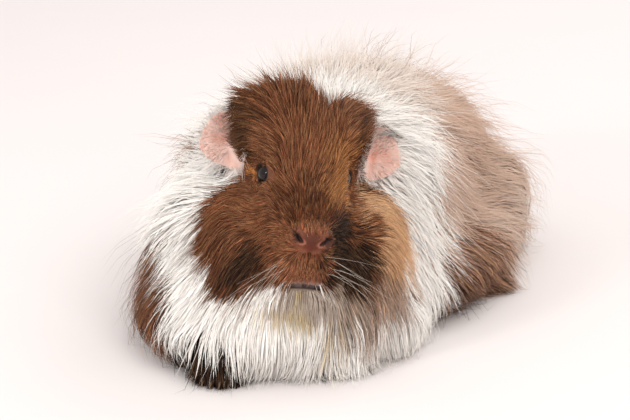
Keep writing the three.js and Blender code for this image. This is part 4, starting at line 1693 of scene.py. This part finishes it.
@dataclass
class Hide:
    """The skin, with the nodes it replaces and the colours of its bare places."""

    REPLACED = (
        "head muzzle lower_jaw nose_pad ear_right ear_left neck chest shoulders barrel rump foreleg_right "
        "foreleg_left hindleg_right hindleg_left forefoot_right forefoot_left hindfoot_right hindfoot_left"
    ).split()
    ear: str = "#e6c3b7"
    ear_folds: str = "#d08a75"
    nose: str = "#431a0e"
    nose_below: str = "#5a2413"
    # near black painted shade in the hollow of each nostril
    nostril: str = "#1a0a08"
    nostril_rim: str = "#9c6350"
    upper_lip: str = "#8d7474"
    under_lip: str = "#7d6a5e"
    # dark painted shade in the gap between the lips
    mouth: str = "#241b1f"
    lids: str = "#1c100c"

    def __post_init__(self) -> None:
        """Find the skin."""
        self.form = SkinForm()

    def colours(self) -> Array:
        """Colour the skin by the pelt, pink on the ears, dark on the nose, the lips and the lids, with
        painted shade in the nostrils and in the gap between the lips.

        Returns:
            Linear red, green and blue for each point.
        """
        points = self.form.points
        outside = np.clip(-ANATOMY.coat(points), 0, 12)
        colours = PELT.colour(points + self.form.normals * outside[:, None] * 0.6)
        for ear in EARS:
            across, up, ahead = ear.shape(points)
            on_ear = ramp(-np.hypot(across, up), -1.25, -1.0) * ramp(-np.abs(ahead), -4, -2.2)
            cup = np.exp(-(((across - 0.3) / 0.38) ** 2) - (((up - 0.05) / 0.3) ** 2))
            top = np.exp(-(((across - 0.2) / 0.45) ** 2) - (((up - 0.8) / 0.14) ** 2)) * 0.7
            folds = np.clip(cup + top + 0.2 * Waves(5, SEED + 20)(points), 0, 1)
            tint = mixed(np.array(linear(self.ear)), linear(self.ear_folds), folds)
            colours += (tint - colours) * on_ear[:, None]
        nose = Anatomy.NOSE.local(points)
        pad = np.exp(-((size_of(nose / (6.2, 6.5, 4.8))) ** 6))
        colours = mixed(colours, linear(self.nose), pad)
        low = np.exp(-((size_of((nose - (0, 0, -2.2)) / (2.8, 8, 2.0))) ** 4))
        colours = mixed(colours, linear(self.nose_below), low)
        for side in SIDES:
            slit = Anatomy.nostril(side, (2.2, 4.4, 0.9)).distance(points)
            rim = np.exp(-(((slit - 0.65) / 0.4) ** 2)) * ramp(-nose[:, 2], -1.6, 0.4) * 0.8
            colours = mixed(colours, linear(self.nostril_rim), rim)
            # painted shade: the nostril's slit coloured near black
            colours = mixed(colours, linear(self.nostril), ramp(-slit, -0.5, 0.2))
        across, ahead, up = HEAD.local(points).T
        above = up - Anatomy.mouth_line(across)
        front = ramp(np.abs(across), 13, 9) * (ahead < Anatomy.MOUTH_FRONT)
        colours = mixed(colours, linear(self.under_lip), np.exp(-(((above + 1.9) / 1.1) ** 2)) * front)
        colours = mixed(colours, linear(self.upper_lip), np.exp(-(((above - 1.5) / 1.0) ** 2)) * front)
        # painted shade: a dark line along the gap between the lips
        colours = mixed(colours, linear(self.mouth), np.exp(-(((above + 0.2) / 1.1) ** 4)) * front)
        for eye in EYES:
            reach = size_of(points - eye.place.at)
            colours = mixed(colours, linear(self.lids), ramp(-reach, -7.2, -6.2))
        return colours

    def build(self, finish: SkinFinish) -> bpy.types.Object:
        """Make the skin's piece.

        Args:
            finish: Its material.

        Returns:
            The object.
        """
        mesh = triangle_mesh("skin", self.form.points, self.form.triangles)
        unwrap(mesh)
        set_pelt(mesh, self.colours())
        piece = finish_piece(add_object("skin", mesh), finish.material())
        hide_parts(*self.REPLACED)
        return piece


@dataclass(frozen=True)
class CoatPiece:
    """One piece of the coat: how many locks it has, and how they differ from what the combs say."""

    name: str
    slot: Slot
    locks: int
    rings: int
    longer: float = 1.0
    wider: float = 1.0
    higher: float = 1.0
    standing: float = 0.0
    regions: tuple[str, ...] = ()


def region_of(points: Array) -> Array:
    """Name the coat piece that each point of the skin belongs to.

    Args:
        points: Rows of x, y, z.

    Returns:
        The names.
    """
    local = HEAD.local(points)
    on_head = ANATOMY.head_coat(points) + 4 < ANATOMY.trunk_coat(points) + 9
    on_head &= local[:, 1] < 22
    right = local[:, 0] < 2
    names = np.full(len(points), "coat_rump", dtype=object)
    names[points[:, 1] < 45] = "coat_left_flank"
    names[(points[:, 1] < 45) & (points[:, 0] < 4)] = "coat_right_flank"
    collar = points[:, 1] < -36 + 0.28 * (points[:, 2] - 40)
    names[collar] = "coat_left_collar"
    names[collar & right] = "coat_right_collar"
    names[on_head] = "coat_face_left"
    names[on_head & right] = "coat_face_right"
    names[on_head & (local[:, 2] > 13)] = "coat_crown"
    return names


TRUNK_REGIONS = ("coat_right_collar", "coat_left_collar", "coat_left_flank", "coat_right_flank", "coat_rump")
COAT_PIECES = [
    CoatPiece("coat_face_right", Slot.BROWN, 18500, 3),
    CoatPiece("coat_face_left", Slot.BROWN, 18500, 3),
    CoatPiece("coat_crown", Slot.BROWN, 13500, 3),
    CoatPiece("coat_right_collar", Slot.WHITE, 12400, 4),
    CoatPiece("coat_left_collar", Slot.WHITE, 12400, 4),
    CoatPiece("coat_left_flank", Slot.TAN, 12000, 4),
    CoatPiece("coat_right_flank", Slot.TAN, 10000, 4),
    CoatPiece("coat_rump", Slot.TAN, 9000, 4),
    CoatPiece("coat_crown_wisps", Slot.BROWN, 1800, 4, 1.35, 0.55, 1.5, 0.35, ("coat_crown",)),
    CoatPiece("coat_wisps", Slot.WHITE, 7000, 4, 1.5, 0.5, 1.6, 0.95, TRUNK_REGIONS),
]


@dataclass
class Coat:
    """The whole coat, piece by piece, on the skin."""

    form: SkinForm
    clump: float = 0.25
    under_share: float = 0.45
    under_least_length: float = 12
    under_width: float = 2.2
    upper_width: float = 0.8
    under_lift: float = 0.55
    ear_hair: tuple[float, float] = (2.5, 8.0)
    ear_hair_width: float = 0.16
    ear_hair_colour: str = "#efe0d8"
    lid_reach: float = 8.6

    def __post_init__(self) -> None:
        """Prepare the skin's triangles as ground for the hair."""
        corners = self.form.points[self.form.triangles]
        self.middles = corners.mean(1)
        across = np.cross(corners[:, 1] - corners[:, 0], corners[:, 2] - corners[:, 0])
        self.areas = size_of(across) / 2
        self.regions = region_of(self.middles)
        self.density = self._density()

    def _density(self) -> Array:
        """Say how thickly the locks stand, with none on the nostrils, lips, edges of the lids and soles.

        Returns:
            A number for each triangle.
        """
        groom = COIFFURE.groom(self.middles)
        density = 1 / (groom.length * groom.width) ** 0.75
        local = HEAD.local(self.middles)
        nose = Anatomy.NOSE.local(self.middles)
        bare = size_of((nose - (0, 0, -1.4)) / (6.4, 7.5, 3.4))
        density *= ramp(bare, 0.85, 1.15)
        parting = 1.0 - 0.07 * np.abs(local[:, 0])
        lips = np.abs(local[:, 2] - Anatomy.mouth_line(local[:, 0])) < parting
        density[lips & (local[:, 1] < Anatomy.MOUTH_FRONT)] = 0
        for eye in EYES:
            reach = size_of(self.middles - eye.place.at)
            density *= 1 + 1.6 * ramp(-reach, -9.5, -7.5)
            density[reach < 6.0] = 0
        density[self.on_ear(self.middles)] *= 0.5
        density[self.middles[:, 2] < 1.2] = 0
        return density

    def piece(self, plan: CoatPiece, finish: HairFinish, seed: int) -> bpy.types.Object:
        """Grow one piece of the coat.

        Args:
            plan: Its region and its number of locks.
            finish: Its material.
            seed: Fixes its random numbers.

        Returns:
            The object.
        """
        rng = np.random.default_rng(seed)
        chosen = np.where(np.isin(self.regions, plan.regions or (plan.name,)))[0]
        corners = self._unfold(chosen)
        weight = self.areas[chosen] * self.density[chosen]
        pick = rng.choice(len(chosen), plan.locks, p=weight / weight.sum())
        share = rng.dirichlet((1, 1, 1), plan.locks)
        triangles = self.form.triangles[chosen[pick]]
        roots = (self.form.points[triangles] * share[..., None]).sum(1)
        normals = unit((self.form.normals[triangles] * share[..., None]).sum(1))
        patches = (corners[pick] * share[..., None]).sum(1)
        chance = rng.random(plan.locks)
        groom = COIFFURE.groom(roots)
        groom.length = groom.length * rng.uniform(0.65, 1.2, plan.locks) * plan.longer
        groom.width = groom.width * rng.uniform(0.75, 1.25, plan.locks) * plan.wider
        groom.lift = groom.lift * plan.higher
        long_enough = groom.length > self.under_least_length
        under = (rng.random(plan.locks) < self.under_share) & long_enough & (plan.standing == 0)
        groom.width = groom.width * np.where(under, self.under_width, self.upper_width)
        groom.lift = groom.lift * np.where(under, self.under_lift, 1.0)
        on_ear = self.on_ear(roots)
        groom.length = np.where(on_ear, rng.uniform(*self.ear_hair, plan.locks), groom.length)
        groom.width = np.where(on_ear, self.ear_hair_width, groom.width)
        to_eye = np.min([size_of(roots - eye.place.at) for eye in EYES], axis=0)
        on_lid = to_eye < self.lid_reach
        groom.length = np.minimum(groom.length, np.maximum(1.6, 1.1 * (to_eye - 5.8)))
        stand = plan.standing * rng.random(plan.locks) ** 0.7 * ramp(roots[:, 2], 20, 62)
        lines, outward = grow(roots, normals, groom, plan.rings, stand, rng)
        lines = self._clump(lines, groom, rng)
        for on, lie in ((on_ear, self._ear_lie(roots)), (on_lid, self._lid_lie(roots))):
            lines[on] = straight_hair(roots[on], normals[on], lie[on], groom.length[on], plan.rings, rng)
        stays = out_of_the_way(lines, on_ear, chance)
        colours = PELT.colour(roots * 0.5 + lines[:, 1] * 0.5, chance)
        colours[on_ear] = linear(self.ear_hair_colour)
        locks = Locks(*(each[stays] for each in (lines, outward, groom.width, colours, patches)))
        return finish_piece(mesh_of_locks(plan.name, locks), finish.material())

    @staticmethod
    def on_ear(points: Array) -> Array:
        """Say which points of the skin lie on the ears.

        Args:
            points: Rows of x, y, z.

        Returns:
            True for each such point.
        """
        found = np.zeros(len(points), bool)
        for ear in EARS:
            across, up, ahead = ear.shape(points)
            found |= (np.hypot(across, up) < 1.12) & (np.abs(ahead) < 2.0)
        return found

    @staticmethod
    def _ear_lie(roots: Array) -> Array:
        """Point the ears' hair away from the ear's root."""
        base = np.where((HEAD.local(roots)[:, :1] < 0), EARS[0].place.at, EARS[1].place.at)
        return unit(roots - base + HEAD.aim((0, 0, 4.0)))

    @staticmethod
    def _lid_lie(roots: Array) -> Array:
        """Lead the lids' hair up and down past the eye.

        Args:
            roots: Points on the lids.

        Returns:
            Where each hair points.
        """
        base = np.where((HEAD.local(roots)[:, :1] < 0), EYES[0].place.at, EYES[1].place.at)
        upward = np.where((roots - base) @ HEAD.aim((0, 0, 1.0)) > -2.0, 1.0, -1.0)[:, None]
        return unit(unit(roots - base) * 0.35 + HEAD.aim((0, 0.35, 1.0)) * upward)

    def _unfold(self, chosen: Array) -> Array:
        """Unfold the region's own skin, for the places of the locks on the coat's map.

        Args:
            chosen: The numbers of its triangles.

        Returns:
            The map's corners for each triangle.
        """
        used, numbers = np.unique(self.form.triangles[chosen], return_inverse=True)
        mesh = triangle_mesh("region", self.form.points[used], numbers.reshape(-1, 3))
        corners = unwrap(mesh)
        bpy.data.meshes.remove(mesh)
        return corners

    def _clump(self, lines: Array, groom: Grooming, rng: np.random.Generator) -> Array:
        """Draw the tips of neighbouring locks together, as hair falls into tufts.

        Args:
            lines: The middle line of each lock.
            groom: The length of each.
            rng: Source of random numbers.

        Returns:
            The moved lines.
        """
        count = len(lines)
        leaders = rng.choice(count, max(8, count // 9), replace=False)
        tree = KDTree(len(leaders))
        middle = lines[:, 1]
        for number, leader in enumerate(leaders):
            tree.insert(Vector(middle[leader]), number)
        tree.balance()
        nearest = np.array([tree.find(Vector(point))[1] for point in middle])
        lead = lines[leaders[nearest]]
        apart = size_of(middle - lead[:, 1])
        fade = np.exp(-((apart / (groom.length * 0.35)) ** 2))
        grip = np.linspace(0, 1, lines.shape[1]) ** 1.5 * self.clump
        return lines + (lead - lines) * grip[None, :, None] * fade[:, None, None]


@dataclass(frozen=True)
class Eyeball:
    """One eye's ball, with a slight bulge of the cornea."""

    eye: Eye
    rows: int = 22
    around: int = 40
    bulge: float = 0.035

    def build(self, finish: EyeFinish) -> bpy.types.Object:
        """Make the ball.

        Args:
            finish: Its material.

        Returns:
            The object.
        """
        name = "eyeball_right" if self.eye.side < 0 else "eyeball_left"
        across = unit(np.cross(self.eye.gaze, (0, 0, 1.0)))
        up = np.cross(across, self.eye.gaze)
        points = []
        for row in range(1, self.rows):
            polar = math.pi * row / self.rows
            for turn in range(self.around):
                angle = 2 * math.pi * turn / self.around
                ring = across * math.cos(angle) + up * math.sin(angle)
                points.append(self.eye.gaze * math.cos(polar) + ring * math.sin(polar))
        points = np.array([self.eye.gaze, *points, -self.eye.gaze])
        facing = points @ self.eye.gaze
        bulge = 1 + self.bulge * ramp(facing, 0.72, 1.0)
        placed = self.eye.place.at + points * bulge[:, None] * self.eye.radius
        # the rings run clockwise round the gaze, so the faces are turned over to point outward
        triangles = np.array(closed_tube(1, self.rows - 1, self.around, 0, len(points) - 1))[:, ::-1]
        mesh = triangle_mesh(name, placed, triangles)
        set_trait(mesh, "iris", ramp(facing, 0.9, 0.8) * ramp(facing, 0.45, 0.7))
        piece = finish_piece(add_object(name, mesh), finish.material())
        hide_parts("eye_right" if self.eye.side < 0 else "eye_left")
        return piece


@dataclass(frozen=True)
class Whiskers:
    """The long pale whiskers of both pads: drawn as lines, given their roundness by Geometry Nodes."""

    points: int = 9
    rows: int = 3
    root_radius: float = 0.05
    sides_of_tube: int = 6

    def _lines(self) -> Array:
        """Draw every whisker's middle line.

        Returns:
            The points of each whisker.
        """
        rng = np.random.default_rng(SEED + 40)
        lines = []
        for side in SIDES:
            for row in range(self.rows):
                for place in range(self.rows):
                    root = np.array((side * (9 + 2.6 * place), -50.0, -20.0 - 3.2 * row))
                    root = root + rng.normal(size=3) * 1.2
                    drop = math.radians(rng.uniform(18, 62) if side < 0 else rng.uniform(-4, 46))
                    ahead = -0.35 + rng.uniform(-0.1, 0.25)
                    heading = unit(np.array((side * math.cos(drop), ahead, -math.sin(drop))))
                    length = rng.uniform(14, 32) + 4 * place
                    along = np.linspace(0, 1, self.points)[:, None]
                    bend = np.array((0, 0.3, -0.22)) * length * rng.uniform(0.5, 1.3)
                    lines.append(root + heading * along * length + bend * along**2)
        lines = HEAD.world(np.array(lines))
        roots = settle(lines[:, 0], smooth_skin, rounds=12, most=2.0)
        return lines + (roots - lines[:, 0])[:, None]

    def _nodes(self, material: bpy.types.Material) -> bpy.types.NodeTree:
        """Build the tree that turns lines into round tapering hairs.

        Args:
            material: What the hairs are dressed in.

        Returns:
            The tree.
        """
        tree = bpy.data.node_groups.new("whiskers_from_lines", "GeometryNodeTree")
        for name, kind in (("Geometry", "Geometry"), ("Root radius", "Float"), ("Sides", "Int")):
            tree.interface.new_socket(name, in_out="INPUT", socket_type="NodeSocket" + kind)
        tree.interface.new_socket("Geometry", in_out="OUTPUT", socket_type="NodeSocketGeometry")
        given = add_node(tree, "NodeGroupInput")
        taper = add_node(tree, "GeometryNodeInputNamedAttribute", {"Name": "taper"}, data_type="FLOAT")
        inputs = {0: taper.outputs["Attribute"], 1: given.outputs["Root radius"]}
        radius = add_node(tree, "ShaderNodeMath", inputs, operation="MULTIPLY")
        curves = add_node(tree, "GeometryNodeMeshToCurve", {"Mesh": given.outputs["Geometry"]})
        inputs = {"Resolution": given.outputs["Sides"], "Radius": 1.0}
        ring = add_node(tree, "GeometryNodeCurvePrimitiveCircle", inputs).outputs[0]
        inputs = {"Curve": curves.outputs[0], "Profile Curve": ring, "Scale": radius.outputs[0]}
        tubes = add_node(tree, "GeometryNodeCurveToMesh", {**inputs, "Fill Caps": True})
        real = add_node(tree, "GeometryNodeRealizeInstances", {"Geometry": tubes.outputs[0]})
        inputs = {"Geometry": real.outputs[0], "Material": material}
        dressed = add_node(tree, "GeometryNodeSetMaterial", inputs)
        add_node(tree, "NodeGroupOutput", {"Geometry": dressed.outputs[0]})
        return tree

    def build(self, finish: WhiskerFinish) -> bpy.types.Object:
        """Make the whiskers as one mesh.

        Args:
            finish: Their material.

        Returns:
            The object.
        """
        lines = self._lines()
        count, length = lines.shape[:2]
        numbers = np.arange(count * length).reshape(count, length)
        edges = np.stack([numbers[:, :-1], numbers[:, 1:]], -1).reshape(-1, 2)
        mesh = bpy.data.meshes.new("whiskers")
        mesh.from_pydata((lines.reshape(-1, 3) * MM).tolist(), edges.tolist(), [])
        set_trait(mesh, "taper", np.tile(np.linspace(1, 0.2, self.points), count))
        piece = add_object("whiskers", mesh)
        material = finish.material()
        tree = self._nodes(material)
        modifier = piece.modifiers.new("whiskers_from_lines", "NODES")
        modifier.node_group = tree
        named = {item.name: item.identifier for item in tree.interface.items_tree if item.in_out == "INPUT"}
        modifier[named["Root radius"]] = self.root_radius * MM
        modifier[named["Sides"]] = self.sides_of_tube
        evaluated = piece.evaluated_get(bpy.context.evaluated_depsgraph_get())
        made = bpy.data.meshes.new_from_object(evaluated)
        piece.modifiers.remove(modifier)
        piece.data = made
        return finish_piece(piece, material)


@dataclass(frozen=True)
class Claws:
    """The short curved claws of all four feet."""

    rings: int = 7
    around: int = 8
    length: float = 7.5
    radius: float = 1.25
    root_height: float = 3.6

    def build(self, finish: HornFinish) -> bpy.types.Object:
        """Make every claw as one mesh.

        Args:
            finish: Their material.

        Returns:
            The object.
        """
        points = []
        triangles = []
        along = []
        for foot in FEET:
            for across, reach in foot.toe_tips():
                start = len(points)
                root = -reach - foot.length * 0.2 * 0.6
                for ring in range(self.rings):
                    t = ring / self.rings
                    middle = np.array((across, root - self.length * t, self.root_height - 2.2 * t**1.6))
                    radius = self.radius * (1 - t) ** 0.7
                    for turn in range(self.around):
                        angle = 2 * math.pi * turn / self.around
                        spoke = np.array((math.cos(angle) * 0.75, 0, math.sin(angle))) * radius
                        points.append(foot.place.world(middle + spoke))
                        along.append(t)
                points.append(foot.place.world(np.array((across, root - self.length - 0.1, 1.2))))
                points.append(foot.place.world(np.array((across, root, self.root_height))))
                along += [1.0, 0.0]
                tip = len(points) - 2
                triangles += closed_tube(start, self.rings, self.around, tip + 1, tip)
        mesh = triangle_mesh("claws", np.array(points), np.array(triangles))
        set_trait(mesh, "along", np.array(along))
        return finish_piece(add_object("claws", mesh), finish.material())


# ---- studio --------------------
@dataclass(frozen=True)
class Studio:
    """The floor, the soft light and the camera."""

    azimuth: float = 15.0
    elevation: float = 15.5
    distance: float = 700.0
    focal: float = 106.67
    sensor: float = 36.0
    nose_tip: Triple = (24.7, -132.9, 58.9)
    right_of_nose: float = 0.75
    above_nose: float = 12.4
    half_floor: float = 6.0
    lit: Triple = (0, -0.03, 0.05)
    backdrop: str = "#f7efee"
    room: str = "#fbf8f6"
    room_light: float = 0.98

    def camera(self) -> None:
        """Place the camera a little above the animal, in front of its face."""
        azimuth = math.radians(self.azimuth)
        elevation = math.radians(self.elevation)
        right = np.array((math.cos(azimuth), math.sin(azimuth), 0))
        level = math.cos(elevation)
        back = np.array((math.sin(azimuth) * level, -math.cos(azimuth) * level, math.sin(elevation)))
        up = np.cross(back, right)
        target = np.array(self.nose_tip) + self.right_of_nose * right + self.above_nose * up
        lens = bpy.data.cameras.new("camera")
        lens.lens = self.focal
        lens.sensor_width = self.sensor
        lens.clip_start = 0.05
        lens.clip_end = 20.0
        camera = add_object("camera", lens)
        place = np.eye(4)
        place[:3, :3] = np.stack([right, up, back], -1)
        place[:3, 3] = (target + back * self.distance) * MM
        camera.matrix_world = Matrix(place.tolist())
        bpy.context.scene.camera = camera

    def floor(self) -> None:
        """Lay a plain pale floor."""
        size = self.half_floor
        mesh = bpy.data.meshes.new("floor")
        corners = [(-size, -size, 0), (size, -size, 0), (size, size, 0), (-size, size, 0)]
        mesh.from_pydata(corners, [], [(0, 1, 2, 3)])
        floor = add_object("floor", mesh)
        mesh.materials.append(FloorFinish("pale_studio_floor").material())

    def lamp(self, name: str, at: Triple, size: float, power: float, colour: str = "#ffffff") -> None:
        """Hang one soft square lamp that faces the animal.

        Args:
            name: The lamp's name.
            at: Where it hangs, in metres.
            size: Its side in metres.
            power: Its power in watts.
            colour: Its colour.
        """
        light = bpy.data.lights.new(name, "AREA")
        light.size = size
        light.energy = power
        light.color = linear(colour)
        lamp = add_object(name, light)
        lamp.location = at
        lamp.rotation_mode = "QUATERNION"
        lamp.rotation_quaternion = (Vector(self.lit) - Vector(at)).to_track_quat("-Z", "Y")

    def light(self) -> None:
        """Light the animal from above and in front, with a bright room round it."""
        self.lamp("key", (0.95, -1.2, 1.35), 1.1, 17.0, "#fffaf5")
        self.lamp("catch light", (-0.55, -1.2, 0.52), 0.2, 6.0)
        self.lamp("rim", (0.7, 1.1, 1.2), 1.0, 6.0)
        world = bpy.data.worlds.new("room")
        bpy.context.scene.world = world
        world.use_nodes = True
        tree = world.node_tree
        tree.nodes.clear()
        ray = add_node(tree, "ShaderNodeLightPath")
        inputs = {0: ray.outputs["Is Camera Ray"], 1: ray.outputs["Is Glossy Ray"]}
        shown = add_node(tree, "ShaderNodeMath", inputs, operation="MAXIMUM")
        inputs = {0: shown.outputs[0], 1: ray.outputs["Is Transmission Ray"]}
        shown = add_node(tree, "ShaderNodeMath", inputs, operation="MAXIMUM")
        inputs = {"Color": (*linear(self.backdrop), 1), "Strength": 1.0}
        backdrop = add_node(tree, "ShaderNodeBackground", inputs)
        inputs = {"Color": (*linear(self.room), 1), "Strength": self.room_light}
        lighting = add_node(tree, "ShaderNodeBackground", inputs)
        inputs = {0: shown.outputs[0], 1: lighting.outputs[0], 2: backdrop.outputs[0]}
        either = add_node(tree, "ShaderNodeMixShader", inputs)
        add_node(tree, "ShaderNodeOutputWorld", {"Surface": either.outputs[0]})

    def build(self) -> None:
        """Set up the whole studio."""
        self.camera()
        self.floor()
        self.light()
        bpy.context.scene.view_settings.view_transform = "Standard"


def main() -> None:
    """Build the studio and the animal."""
    logging.basicConfig(level=logging.INFO, format="%(name)s: %(message)s")
    Studio().build()
    hide = Hide()
    hide.build(SkinFinish("skin_under_short_hair"))
    for eye in EYES:
        Eyeball(eye).build(EyeFinish("wet_eye"))
    Claws().build(HornFinish("claw_horn"))
    Whiskers().build(WhiskerFinish("pale_whisker"))
    coat = Coat(hide.form)
    finish = HairFinish("soft_hair")
    for number, plan in enumerate(COAT_PIECES):
        coat.piece(plan, finish, SEED * 100 + number)


if __name__ == "__main__":
    main()
